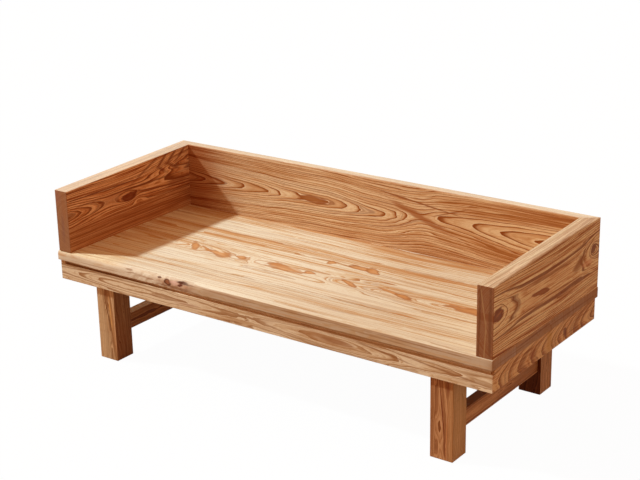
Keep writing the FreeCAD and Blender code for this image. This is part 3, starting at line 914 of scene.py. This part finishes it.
@dataclass(frozen=True)
class Seat:
    """The five planks of the seat, sawn from one wide flitch so that their grain runs on."""

    planks: int = 5
    front_plank: WaneyPlank = WaneyPlank()
    front_tan: Face = Face(
        Side.FRONT, (186, 144, 102), share=0.62, start=-0.40, end=-0.28,
        marks=(
            Stain(0.35, 0.396, 0.76, 0.004, (168, 126, 84), 1.0, 0.4),
            Stain(0.35, 0.431, 0.74, 0.003, (168, 122, 80), 0.6, 0.5),
            Stain(-0.12, 0.422, 0.16, 0.003, (160, 110, 72), 0.6, 0.6, lean=-0.01),
            Stain(0.24, 0.423, 0.2, 0.0025, (164, 112, 66), 0.7, 0.6, lean=0.006),
            Stain(0.12, 0.407, 0.26, 0.002, (206, 158, 112), 0.7, 0.6),
            Stain(0.56, 0.413, 0.15, 0.003, (166, 116, 72), 0.6, 0.6, lean=-0.02),
            Stain(0.7, 0.423, 0.2, 0.0025, (160, 108, 66), 0.7, 0.6, lean=-0.008),
            Stain(0.78, 0.405, 0.22, 0.004, (208, 168, 122), 0.7, 0.6),
        ),
    )
    front_waney: Face = Face(
        Side.FRONT, (226, 196, 164), share=0.45, start=-0.24, end=-0.36,
        marks=(
            Stain(-0.8, 0.404, 0.12, 0.002, (176, 130, 92), 0.5, 0.5),
            Stain(-0.62, 0.425, 0.016, 0.003, (156, 112, 78), 0.7, 0.5),
            Stain(-0.61, 0.414, 0.024, 0.002, (170, 126, 88), 0.7, 0.5, lean=0.1),
            Stain(-0.52, 0.41, 0.04, 0.003, (186, 134, 96), 0.6, 0.5, lean=-0.05),
            Stain(-0.37, 0.41, 0.095, 0.018, (190, 140, 104), 0.7, 0.5),
            Stain(-0.355, 0.399, 0.11, 0.005, (150, 102, 68), 0.8, 0.5),
            Stain(-0.461, 0.425, 0.01, 0.003, (112, 70, 48), 1.0),
            Stain(-0.418, 0.413, 0.016, 0.011, (150, 92, 60), 1.0, lean=-0.3, outline=0.7),
            Stain(-0.382, 0.416, 0.022, 0.009, (228, 188, 168), 0.9, 0.4),
            Stain(-0.342, 0.424, 0.03, 0.006, (92, 48, 36), 1.0, 0.35),
            Stain(-0.356, 0.413, 0.014, 0.006, (118, 64, 46), 1.0, 0.35, lean=0.2),
            Stain(-0.325, 0.413, 0.014, 0.005, (204, 150, 116), 0.8, 0.5),
            Stain(-0.296, 0.424, 0.014, 0.002, (126, 76, 50), 1.0, 0.4, lean=-0.1),
        ),
    )
    ends: Face = Face(
        Side.RIGHT, (162, 114, 72), share=0.82, axes=(Axis.DEPTH, Axis.HEIGHT),
        marks=(
            Stain(-0.26, 0.428, 0.15, 0.004, (186, 138, 90), 0.7, 0.6),
            Stain(-0.1, 0.421, 0.14, 0.003, (136, 84, 46), 0.8, 0.6, lean=0.02),
            Stain(0.18, 0.412, 0.17, 0.003, (142, 88, 48), 0.8, 0.6, lean=-0.01),
            Stain(-0.25, 0.408, 0.12, 0.002, (142, 90, 52), 0.7, 0.6),
        ),
    )
    tan_right: Face = Face(Side.TOP, (236, 226, 217), coat=Coat.TINT, start=-0.3, end=0.6)
    # Painted shade: a warmer, darker tint on the seat where the left arm's shadow falls.
    painted_shade_left: Face = Face(Side.TOP, (255, 246, 228), coat=Coat.TINT, start=-0.62, end=-0.74)
    wood: Wood = Wood(
        "seat wood", CREAM, Flame(ORANGE_PATCH, reach=0.03, start=0.7, share=0.35), Lay.SEAT,
        face=0.434, heart=(-0.072, 0.384), seed=3.1, ring=0.019, crest_reach=0.045,
        crest=(
            (-1.0, -3.0), (-0.6, -1.2), (-0.36, 0.9), (-0.27, 1.0), (-0.24, 2.0), (0.0, 2.6), (0.1, 3.0),
            (0.14, 4.0), (0.27, 5.0), (0.31, 6.0), (0.5, 7.0), (0.58, 8.0), (1.0, 9.0),
        ),
        path=((-1.0, 0.01), (-0.4, 0.004), (0.0, 0.0), (0.5, -0.006), (1.0, 0.0)),
        bands=(
            (-0.4, 0.26), (-0.34, 0.26), (-0.295, -0.02), (-0.26, 0.09), (-0.19, 0.26), (-0.13, 0.06),
            (-0.06, 0.05), (-0.01, -0.14), (0.05, 0.02), (0.1, -0.05), (0.155, -0.24), (0.185, 0.17),
            (0.25, 0.05), (0.3, -0.25), (0.34, -0.36), (0.4, -0.4),
        ),
        stains=(
            Stain(-0.56, -0.06, 0.034, 0.022, ORANGE_PATCH, lean=-0.9, outline=0.4),
            Stain(-0.425, -0.074, 0.062, 0.022, ORANGE_PATCH, lean=-0.2, taper=-0.5, outline=0.5),
            Stain(-0.495, -0.062, 0.034, 0.006, ORANGE_PATCH, 0.8, lean=-0.5, outline=0.4),
            Stain(-0.45, -0.05, 0.036, 0.008, PALE_GRAIN, soft=0.4, lean=-0.3),
            Stain(-0.32, -0.066, 0.026, 0.014, ORANGE_PATCH, taper=-0.5, outline=0.5),
            Stain(-0.1, -0.068, 0.094, 0.026, DEEP_PATCH, lean=-0.1, taper=0.3, outline=0.4),
            Stain(-0.06, -0.056, 0.044, 0.008, PALE_GRAIN, 0.5, 0.6, lean=-0.3),
            Stain(-0.11, -0.076, 0.066, 0.004, (232, 192, 144), 0.6, 0.6, lean=-0.08),
            Stain(-0.15, -0.058, 0.026, 0.007, (194, 132, 78), 0.5, 0.6),
            Stain(-0.48, -0.07, 0.026, 0.007, (194, 132, 78), 0.5, 0.6, lean=-0.2),
            Stain(-0.42, -0.082, 0.04, 0.004, (228, 184, 136), 0.5, 0.6, lean=-0.2),
            Stain(0.012, -0.06, 0.024, 0.013, ORANGE_PATCH, taper=0.4, outline=0.6),
            Stain(0.205, -0.07, 0.046, 0.012, ORANGE_PATCH, lean=-0.45, outline=0.6),
            Stain(0.4, -0.064, 0.08, 0.009, ORANGE_PATCH, lean=-0.25, outline=0.4),
            Stain(0.445, -0.074, 0.038, 0.015, ORANGE_PATCH, lean=-0.2, taper=-0.3, outline=0.6),
            Stain(0.62, -0.044, 0.15, 0.006, ORANGE_PATCH, 0.8, 0.5),
            Stain(0.755, -0.066, 0.13, 0.025, DEEP_PATCH, lean=-0.04, taper=-0.3, outline=0.5),
            Stain(0.022, 0.078, 0.018, 0.014, ORANGE_PATCH, taper=0.5, outline=0.5),
            Stain(0.145, 0.086, 0.052, 0.017, ORANGE_PATCH, lean=-0.05, outline=0.7),
            Stain(0.215, 0.08, 0.032, 0.025, ORANGE_PATCH, lean=-0.4, taper=0.6, outline=0.6),
            Stain(-0.2, 0.125, 0.04, 0.016, ORANGE_PATCH, 0.4, 0.5),
        ),
        faces=(front_tan, front_waney, ends, tan_right, painted_shade_left),
        sway=2.2, uneven=3.0, ripple=0.5, contrast=1.05, streaks=1.1, minors=0.35, grit=0.7,
        grit_scale=90.0, calm=0.2, lines=0.45, hairs=0.34, base=0.75,
    )

    def build(self) -> None:
        """Model the front plank and dress them all."""
        plank = self.front_plank.build()
        names = (f"seat_plank_{number}" for number in range(1, self.planks + 1))
        plank.data.materials.append(self.wood.dress(*names))


@dataclass(frozen=True)
class Screens:
    """The two arms and the back."""

    rim: Face = Face(Side.TOP, PALE_RIM, share=0.65)
    back_rim: Face = Face(
        Side.TOP, PALE_RIM, share=0.66, axes=(Axis.LENGTH, Axis.DEPTH),
        marks=(Stain(0.0, 0.349, 2.0, 0.009, (190, 136, 88), 0.85, 0.5),),
    )
    tan_rim: Face = Face(
        Side.TOP, TAN_RIM, share=0.55, axes=(Axis.DEPTH, Axis.LENGTH),
        marks=(
            Stain(-0.3, 0.958, 0.11, 0.004, (190, 158, 120), 0.6, 0.6, lean=0.04),
            Stain(-0.21, 0.972, 0.06, 0.005, (228, 204, 170), 0.7, 0.6, lean=-0.12),
            Stain(0.12, 0.955, 0.14, 0.005, (190, 158, 120), 0.6, 0.6, lean=-0.02),
            # Painted shade: the outer edge of the top is browned to look like the shaded side face below
            # it.
            Stain(-0.02, 1.0, 0.37, 0.012, (150, 105, 66), 0.95, 0.35),
        ),
    )
    left_end: Face = Face(
        Side.FRONT, (164, 118, 84), share=0.85, axes=(Axis.HEIGHT, Axis.LENGTH),
        marks=(
            Stain(0.665, -0.98, 0.03, 0.014, (170, 112, 96), 0.5, 0.8),
            Stain(0.62, -0.95, 0.06, 0.014, (172, 112, 70), 0.5, 0.8),
            Stain(0.53, -0.962, 0.05, 0.008, (142, 100, 84), 0.5, 0.8),
        ),
    )
    right_end: Face = Face(
        Side.FRONT, (144, 88, 54), share=0.92, axes=(Axis.HEIGHT, Axis.LENGTH),
        marks=(
            Stain(0.56, 0.946, 0.15, 0.004, (118, 70, 42), 0.7, 0.6, lean=0.02),
            Stain(0.56, 0.986, 0.15, 0.006, (120, 74, 46), 0.7, 0.6),
            Stain(0.61, 0.96, 0.09, 0.002, (180, 138, 94), 0.8, 0.5, lean=-0.16),
            Stain(0.49, 0.968, 0.07, 0.002, (180, 138, 94), 0.8, 0.5, lean=0.05),
        ),
    )
    # Painted shade: the back grows darker towards its left end, in the corner beside the left arm.
    corner: Face = Face(Side.FRONT, (206, 156, 122), 0.9, Coat.TINT, start=-0.66, end=-0.88)
    tan_end: Face = Face(Side.FRONT, (244, 232, 220), coat=Coat.TINT, start=0.0, end=0.6)
    # A run of flames from the left, and an eye at the right.
    back: Wood = Wood(
        "back wood", GOLD, Flame((150, 80, 30), reach=0.04, start=0.68, end=0.96, share=0.88), Lay.LONG,
        face=0.349, heart=(0.575, 0.313), seed=7.7, ring=0.0085, crest_reach=0.12,
        crest=(
            (-1.0, -9.4), (-0.84, -8.0), (-0.73, -7.0), (-0.62, -6.0), (-0.5, -5.0), (-0.43, -4.0),
            (-0.35, -3.45), (-0.32, -3.22), (-0.2, -3.05), (-0.185, -2.95), (-0.09, -2.0), (-0.03, -1.0),
            (0.09, 0.0), (0.15, 1.0), (0.195, 2.0), (0.26, 2.75), (0.33, 2.0), (0.51, 1.0), (0.66, 0.0),
            (0.86, -1.0), (1.0, -1.5),
        ),
        path=((-1.0, -0.012), (-0.25, -0.003), (0.1, -0.004), (0.33, 0.024), (0.6, 0.018), (1.0, 0.01)),
        bands=(
            (0.43, -0.05), (0.52, -0.05), (0.57, 0.05), (0.61, 0.05), (0.65, 0.02), (0.68, -0.12),
            (0.71, -0.12),
        ),
        swirls=(Swirl(0.8, 0.49, 0.42, 0.075, -2.4), Swirl(0.25, 0.67, 0.2, 0.045, 1.2)),
        stains=(
            Stain(-0.255, 0.571, 0.068, 0.015, BROWN_PATCH, outline=0.5),
            Stain(0.26, 0.586, 0.14, 0.013, (170, 106, 60), 0.8, 0.5, lean=-0.34),
            Stain(0.245, 0.645, 0.2, 0.003, GOLD.line, 0.8, 0.5, lean=-0.12),
            Stain(0.395, 0.628, 0.08, 0.003, GOLD.line, 0.7, 0.5, lean=0.35),
        ),
        faces=(back_rim, corner, tan_end),
        sway=1.8, ripple=0.5, contrast=1.3, streaks=1.5, minors=0.3, calm=0.2, quiet=0.6, fine=0.5,
        lines=1.0, hairs=0.6, base=0.7,
    )
    # A knot, a swirl and steep flames towards the rear corner.
    left: Wood = Wood(
        "left arm wood", RUSSET, Flame((140, 80, 42)), Lay.END,
        face=-0.93, heart=(0.585, -0.885), seed=1.9, ring=0.0085, crest_reach=0.06,
        crest=(
            (-0.4, -4.0), (-0.33, -3.0), (-0.265, -2.0), (-0.19, -1.0), (-0.09, -0.7), (0.05, -0.4),
            (0.2, -0.8), (0.35, -1.4), (0.4, -1.6),
        ),
        bands=((0.43, 0.02), (0.54, 0.0), (0.6, 0.0), (0.64, 0.18), (0.71, 0.18)),
        swirls=(
            Swirl(0.42, 0.668, 0.24, 0.042, -8.0, lean=0.05),
            Swirl(-0.045, 0.574, 0.06, 0.032, -1.6),
            Swirl(0.015, 0.552, 0.036, 0.02, 1.3),
        ),
        stains=(
            Stain(0.0, 0.47, 0.9, 0.06, (178, 118, 72), 0.5, 0.3),
            Stain(-0.14, 0.588, 0.05, 0.018, (204, 146, 104), 0.6, 0.5),
            Stain(0.04, 0.606, 0.29, 0.004, (128, 68, 34), 0.8, 0.6, lean=-0.02),
            Stain(-0.045, 0.574, 0.044, 0.017, (132, 62, 30), taper=-0.3, outline=0.5),
            Stain(0.1, 0.574, 0.12, 0.003, (128, 64, 30), 0.8, 0.6, lean=-0.12),
            Stain(0.27, 0.566, 0.07, 0.016, (140, 74, 40), 0.6, 0.6, lean=0.1),
            Stain(-0.2, 0.642, 0.22, 0.003, RUSSET.line, 0.8, 0.5, lean=-0.02),
            Stain(0.08, 0.668, 0.08, 0.006, CHEVRON, 0.7, 0.8, lean=0.45),
            Stain(0.18, 0.68, 0.034, 0.008, CHEVRON, 0.8, 0.8, lean=0.75),
            Stain(0.172, 0.64, 0.026, 0.008, CHEVRON, 0.8, 0.8, lean=-0.55),
            Stain(0.24, 0.682, 0.034, 0.008, CHEVRON, 0.8, 0.8, lean=0.75),
            Stain(0.242, 0.64, 0.034, 0.008, CHEVRON, 0.8, 0.8, lean=-0.5),
            Stain(0.3, 0.682, 0.03, 0.008, CHEVRON, 0.8, 0.8, lean=0.75),
        ),
        faces=(rim, left_end),
        ripple=0.5, contrast=1.35, streaks=1.3, minors=0.3, grit=1.0, grit_scale=190.0, calm=0.1,
        quiet=0.3, fine=0.6, lines=0.9, hairs=0.6, base=0.66,
    )
    # A knot in an eye near the front, and another at the rear.
    right: Wood = Wood(
        "right arm wood", UMBER, Flame((166, 106, 56), start=0.8, end=0.97, share=0.5), Lay.END,
        face=0.999, heart=(0.58, 1.079), seed=5.3, ring=0.0075, crest_reach=0.07,
        crest=(
            (-0.4, 0.2), (-0.31, 1.0), (-0.22, 2.0), (-0.16, 2.36), (-0.01, 2.42), (0.1, 2.42),
            (0.2, 2.36), (0.26, 2.0), (0.34, 1.0), (0.4, 0.2),
        ),
        path=((-0.4, 0.0), (-0.2, -0.005), (0.0, -0.01), (0.15, -0.006), (0.4, 0.006)),
        bands=(
            (0.43, 0.02), (0.48, 0.04), (0.52, 0.14), (0.58, 0.08), (0.64, 0.12), (0.67, -0.02),
            (0.71, -0.06),
        ),
        swirls=(Swirl(-0.365, 0.583, 0.05, 0.03, -1.5), Swirl(0.345, 0.6, 0.035, 0.03, -1.5)),
        stains=(
            Stain(-0.365, 0.583, 0.04, 0.02, KNOT, 0.95, taper=-0.3, outline=0.5),
            Stain(-0.355, 0.588, 0.02, 0.004, (188, 124, 78), 0.6, 0.6, lean=0.3),
            Stain(-0.065, 0.565, 0.06, 0.01, (158, 92, 40), lean=-0.12, taper=-0.3, outline=0.4),
            Stain(0.235, 0.578, 0.045, 0.022, (166, 106, 50), 0.8, 0.4, lean=0.3),
            Stain(0.29, 0.612, 0.07, 0.004, (150, 92, 48), 0.7, 0.5, lean=0.5),
            Stain(0.0, 0.61, 0.21, 0.005, (158, 98, 52), 0.7, 0.6),
            Stain(0.08, 0.532, 0.16, 0.003, (160, 100, 56), 0.8, 0.5, lean=-0.03),
            Stain(0.3, 0.56, 0.04, 0.012, (222, 160, 118), 0.6, 0.6),
            Stain(0.348, 0.602, 0.018, 0.018, KNOT),
        ),
        faces=(tan_rim, right_end),
        sway=1.6, uneven=3.0, ripple=0.15, contrast=1.3, streaks=2.0, minors=0.4, grit=1.6,
        grit_scale=230.0, calm=0.0, quiet=0.7, fine=1.0, lines=0.8, hairs=0.8, base=0.76,
    )

    def build(self) -> None:
        """Dress the arms and the back."""
        self.back.dress("back_panel")
        self.left.dress("arm_left")
        self.right.dress("arm_right")


@dataclass(frozen=True)
class Aprons:
    """The ring of aprons under the seat."""

    # Painted light on the shaded ledge at the foot of the groove under the seat, with painted shade on its
    # left part.
    ledge_painted_light_and_shade: Face = Face(
        Side.TOP, (232, 198, 160), share=0.9,
        marks=(Stain(-0.9, 0.378, 0.44, 0.01, (166, 116, 70), soft=0.2),),
    )
    # Pale, with a flame at the left and a dark eye right of the middle.
    front: Wood = Wood(
        "front apron wood", STRAW, Flame((168, 116, 70), reach=0.02, share=0.75), Lay.LONG,
        face=-0.392, heart=(0.349, -0.403), seed=2.2, ring=0.011, crest_reach=0.05, crest_slant=1.5,
        crest=(
            (-1.0, 2.4), (-0.8, 1.0), (-0.68, 0.3), (-0.3, 1.2), (0.0, 1.8), (0.2, 1.0), (0.33, 0.3),
            (0.5, 1.0), (0.63, 2.0), (0.85, 3.0), (1.0, 3.4),
        ),
        stains=(
            Stain(0.32, 0.351, 0.11, 0.014, (186, 134, 88), 0.6, 0.6, lean=-0.03),
            Stain(0.36, 0.351, 0.07, 0.008, (164, 108, 62), 0.7, 0.6, lean=-0.05),
            Stain(0.56, 0.358, 0.1, 0.003, (156, 102, 60), 0.7, 0.5, lean=-0.14),
            Stain(0.8, 0.35, 0.18, 0.003, (156, 102, 60), 0.7, 0.5, lean=-0.1),
            Stain(-0.33, 0.34, 0.05, 0.004, (178, 120, 84), 0.6, 0.6, lean=0.05),
            # Painted light and shade along the groove under the seat: a pale band lightens the shaded
            # groove, and on the left part a browner groove and a brown band below it are painted shade.
            Stain(0.0, 0.3865, 3.0, 0.0075, (244, 216, 184), 1.0, 0.1),
            Stain(-0.9, 0.3865, 0.44, 0.009, (206, 160, 112), 0.9, 0.2),
            Stain(-0.9, 0.374, 0.44, 0.004, (156, 108, 66), 0.7, 0.5),
        ),
        faces=(ledge_painted_light_and_shade,),
        sway=2.4, uneven=3.0, ripple=1.1, contrast=0.85, streaks=1.2, minors=0.25, grit=0.9,
        grit_scale=120.0, calm=0.3, lines=0.45, base=0.8,
    )
    # Big arcs towards the front, and upright waves behind them.
    side: Wood = Wood(
        "side apron wood", OLIVE, Flame((150, 98, 54), reach=0.05, share=0.6), Lay.END,
        face=0.998, heart=(0.345, 1.048), seed=8.4, ring=0.014, crest_reach=0.3, crest_slant=-0.5,
        crest=(
            (-0.4, 6.4), (-0.35, 6.0), (-0.28, 5.0), (-0.21, 4.0), (-0.12, 3.0), (-0.04, 2.0),
            (0.03, 1.0), (0.08, 0.0), (0.14, -1.0), (0.21, -2.0), (0.27, -3.0), (0.34, -4.0), (0.4, -4.5),
        ),
        stains=(
            Stain(0.015, 0.35, 0.02, 0.05, (206, 160, 84), 0.6, 0.6),
            Stain(0.138, 0.345, 0.012, 0.018, (120, 64, 36), 0.8, 0.4),
            Stain(-0.11, 0.352, 0.022, 0.018, (158, 92, 50), 0.7, 0.5),
        ),
        bend=4.0, ripple=0.6, contrast=1.2, streaks=1.8, minors=0.4, grit=1.6, grit_scale=200.0,
        calm=0.1, quiet=0.4, fine=0.9, lines=0.55, base=0.83,
    )
    rear: Wood = Wood(
        "rear apron wood", OLIVE, Flame((150, 98, 54)), Lay.LONG,
        face=0.382, heart=(0.35, 0.42), seed=6.1,
    )

    def build(self) -> None:
        """Dress the four aprons."""
        self.front.dress("apron_front")
        self.side.dress("apron_right", "apron_left")
        self.rear.dress("apron_rear")


@dataclass(frozen=True)
class Leg:
    """What one leg's wood has of its own, with the tints of its front and right side; a tint on a side that
    stands under the bed is painted shade.
    """

    corner: str
    face: float
    heart: tuple[float, float]
    seed: float
    streaks: tuple[Stain, ...] = ()
    front: Colour = WHITE
    right: Colour = WHITE

    def wood(self) -> Wood:
        """The leg's wood, with its grain upright.

        Returns:
            The wood with this leg's own heart, streaks and tints.
        """
        return Wood(
            f"{self.corner} leg wood", CHESTNUT, Flame((150, 98, 54), reach=0.025, share=0.6), Lay.POST,
            face=self.face, heart=self.heart, seed=self.seed, ring=0.008,
            faces=(
                Face(Side.FRONT, self.front, coat=Coat.TINT),
                Face(Side.RIGHT, self.right, coat=Coat.TINT),
            ),
            stains=self.streaks,
            bend=5.0, sway=5.0, uneven=3.0, hold=0.2, ripple=0.9, contrast=0.7, streaks=1.0,
            lines=0.3, hairs=0.25, base=0.6,
        )


@dataclass(frozen=True)
class Stretcher:
    """What one stretcher's wood has of its own: a seed, the tint of its right side and its top's colour, in
    part painted shade and painted highlight.
    """

    side: str
    seed: float
    right: Colour
    top: Colour
    heart_depth: float = 0.05

    def wood(self) -> Wood:
        """The stretcher's wood, with its grain along it.

        Returns:
            The wood with its heart outside the right face, at half height.
        """
        low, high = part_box(f"stretcher_{self.side}")
        return Wood(
            f"{self.side} stretcher wood", CHESTNUT, Flame((150, 98, 54)), Lay.END,
            face=high.x, heart=((low.z + high.z) / 2, high.x + self.heart_depth), seed=self.seed,
            faces=(
                Face(Side.RIGHT, self.right, coat=Coat.TINT),
                Face(Side.TOP, self.top, share=0.9),
            ),
            contrast=0.6, streaks=0.5, lines=0.3,
        )


@dataclass(frozen=True)
class Stand:
    """The four legs and the two stretchers."""

    legs: tuple[Leg, ...] = (
        Leg(
            # The right side's tint is painted shade under the bed.
            "front_left", -0.376, (-0.76, -0.4), 14.3, right=(201, 180, 170),
            streaks=(
                Stain(0.12, -0.795, 0.2, 0.026, (218, 184, 140), 0.6, 0.5, lean=-0.1),
                Stain(0.265, -0.768, 0.04, 0.008, (150, 96, 54), 0.8, 0.6),
                Stain(0.15, -0.756, 0.12, 0.002, (112, 72, 38), 0.9, 0.5, lean=-0.2),
                Stain(0.15, -0.742, 0.15, 0.01, (200, 142, 92), 0.5, 0.6, lean=-0.1),
                Stain(0.21, -0.752, 0.055, 0.003, (236, 180, 104), 0.8, 0.6, lean=-0.06),
            ),
        ),
        # Both tints of this leg are painted shade under the bed.
        Leg("rear_left", 0.366, (-0.8, 0.39), 15.6, front=(165, 130, 115), right=(201, 180, 170)),
        Leg(
            "front_right", -0.376, (0.79, -0.396), 16.9, front=(226, 198, 180),
            streaks=(
                Stain(0.15, 0.834, 0.3, 0.012, (216, 180, 128), 0.6, 0.5),
                Stain(0.23, 0.789, 0.08, 0.002, (240, 206, 156), 0.9, 0.6, lean=-0.11),
                Stain(0.23, 0.812, 0.08, 0.002, (240, 206, 156), 0.9, 0.6, lean=-0.13),
                Stain(0.137, 0.795, 0.01, 0.004, (244, 208, 164), 0.8, 0.6),
                Stain(0.2, 0.795, 0.11, 0.002, (136, 70, 38), 0.9, 0.6, lean=-0.1),
                Stain(0.1, 0.804, 0.1, 0.002, (136, 70, 38), 0.8, 0.6, lean=-0.06),
                Stain(0.09, 0.815, 0.09, 0.002, (226, 170, 116), 0.8, 0.6, lean=0.04),
                Stain(0.28, 0.82, 0.028, 0.007, (146, 82, 46), 0.7, 0.6),
            ),
        ),
        # The front tint is painted shade under the bed.
        Leg("rear_right", 0.366, (0.77, 0.4), 18.2, front=(140, 100, 82)),
    )
    stretchers: tuple[Stretcher, ...] = (
        # Left: the darker right side is painted shade under the bed, and the pale top is a painted
        # highlight.
        Stretcher("left", 21.0, (212, 184, 164), (255, 244, 224)),
        # Right: the dark top is painted shade under the seat.
        Stretcher("right", 22.0, (246, 232, 220), (150, 104, 70)),
    )

    def build(self) -> None:
        """Dress the legs and stretchers."""
        for leg in self.legs:
            leg.wood().dress(f"leg_{leg.corner}")
        for stretcher in self.stretchers:
            stretcher.wood().dress(f"stretcher_{stretcher.side}")


@dataclass(frozen=True)
class Underframe:
    """What holds the bed together out of sight: battens, bearers, blocks, keys, splines and pegs."""

    battens: int = 5
    batten_wood: Wood = Wood(
        "batten wood", STRAW, Flame((168, 116, 70)), Lay.CROSS, face=0.36, heart=(0.0, 0.3), seed=4.4
    )
    block_wood: Wood = Wood(
        "block wood", STRAW, Flame((168, 116, 70)), Lay.POST, face=0.36, heart=(0.0, 0.0), seed=9.2
    )
    joint_wood: Wood = Wood(
        "joint wood", RUSSET, Flame((140, 80, 42)), Lay.POST,
        face=0.36, heart=(0.0, 0.0), seed=12.6, ring=0.004,
    )

    def build(self) -> None:
        """Dress the hidden pieces."""
        sides, ends = ("left", "right"), ("front", "rear")
        battens = [f"batten_{number}" for number in range(1, self.battens + 1)]
        self.batten_wood.dress(*battens, *(f"bearer_{side}" for side in sides))
        self.block_wood.dress(*(f"corner_block_{end}_{side}" for end in ends for side in sides))
        keys = ("back_keys", "arm_left_keys", "arm_right_keys")
        splines = [f"corner_spline_{side}" for side in sides]
        self.joint_wood.dress(*keys, *splines, "stretcher_pegs", "bearer_pegs", "apron_dowels")


@dataclass(frozen=True)
class Studio:
    """A pale floor, a soft sun, an even warm fill and the camera."""

    lens: float = 82.016
    sensor: float = 36.0
    camera_place: tuple[float, float, float] = (3.1166, -4.2779, 2.4133)
    camera_look: tuple[float, float, float] = (-0.55279, 0.76409, -0.33256)
    camera_right: tuple[float, float, float] = (0.81389, 0.58072, -0.01861)
    sun_travel: tuple[float, float, float] = (0.685, 0.282, -0.672)
    sun_strength: float = 3.29
    sun_colour: Colour = (233, 250, 255)
    sun_angle: float = math.radians(4.0)
    fill: Colour = (196, 144, 109)
    floor_side: float = 60.0
    floor_tone: Colour = (166, 142, 120)
    floor_glow: float = 0.975

    def seen_directly(self, graph: Graph) -> Value:
        """Where a surface or the world is looked at, and doesn't light something else.

        Args:
            graph: The node tree to build in.

        Returns:
            1 for rays from the camera, a mirror or a glass, and 0 for the light that falls on things.
        """
        rays = graph.node("ShaderNodeLightPath", {}, {}).outputs
        names = ("Is Camera Ray", "Is Glossy Ray", "Is Transmission Ray")
        camera, glossy, through = (Value(graph, rays[name]) for name in names)
        return camera.larger(glossy).larger(through)

    def light(self) -> None:
        """Set up the sun and the even light from all round."""
        lamp = bpy.data.lights.new("sun", "SUN")
        lamp.energy = self.sun_strength
        lamp.color = linear(self.sun_colour)[:3]
        lamp.angle = self.sun_angle
        sun = bpy.data.objects.new("sun", lamp)
        sun.rotation_mode = "QUATERNION"
        sun.rotation_quaternion = Vector(self.sun_travel).to_track_quat("-Z", "Y")
        bpy.context.scene.collection.objects.link(sun)
        world = bpy.data.worlds.new("studio")
        world.use_nodes = True
        bpy.context.scene.world = world
        graph = Graph(world.node_tree)
        fill = graph.node("ShaderNodeBackground", {}, {"Color": linear(self.fill)})
        white = graph.node("ShaderNodeBackground", {}, {"Color": linear(WHITE)})
        graph.cover("ShaderNodeOutputWorld", self.seen_directly(graph), fill, white)

    def lay_floor(self) -> None:
        """Lay a plain floor, which looks white and keeps a trace of the bed's shadow."""
        bpy.ops.object.select_all(action="DESELECT")
        bpy.ops.mesh.primitive_plane_add(size=self.floor_side, location=(0, 0, 0))
        floor = bpy.context.object
        floor.name = "floor"
        material = bpy.data.materials.new("pale floor")
        material.use_nodes = True
        graph = Graph(material.node_tree)
        seen = self.seen_directly(graph)
        paint = graph.blend(seen, linear(self.floor_tone), linear(WHITE))
        matt = graph.node("ShaderNodeBsdfDiffuse", {}, {"Color": paint})
        glow = graph.node("ShaderNodeEmission", {}, {"Color": linear(WHITE)})
        graph.cover("ShaderNodeOutputMaterial", seen * self.floor_glow, matt, glow)
        floor.data.materials.append(material)

    def place_camera(self) -> None:
        """Put the camera at the photograph's view."""
        back = -Vector(self.camera_look).normalized()
        right = Vector(self.camera_right).normalized()
        up = back.cross(right).normalized()
        view = bpy.data.cameras.new("camera")
        view.lens = self.lens
        view.sensor_width = self.sensor
        camera = bpy.data.objects.new("camera", view)
        turned = Matrix((right, up, back)).transposed().to_4x4()
        camera.matrix_world = Matrix.Translation(self.camera_place) @ turned
        bpy.context.scene.collection.objects.link(camera)
        bpy.context.scene.camera = camera

    def build(self) -> None:
        """Set up the studio."""
        self.light()
        self.lay_floor()
        self.place_camera()
        bpy.context.scene.view_settings.view_transform = "Standard"
        LOG.info("studio")


def main() -> None:
    """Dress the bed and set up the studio."""
    logging.basicConfig(level=logging.INFO, format="%(name)s: %(message)s")
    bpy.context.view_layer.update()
    for assembly in (Seat(), Screens(), Aprons(), Stand(), Underframe(), Studio()):
        assembly.build()


if __name__ == "__main__":
    main()
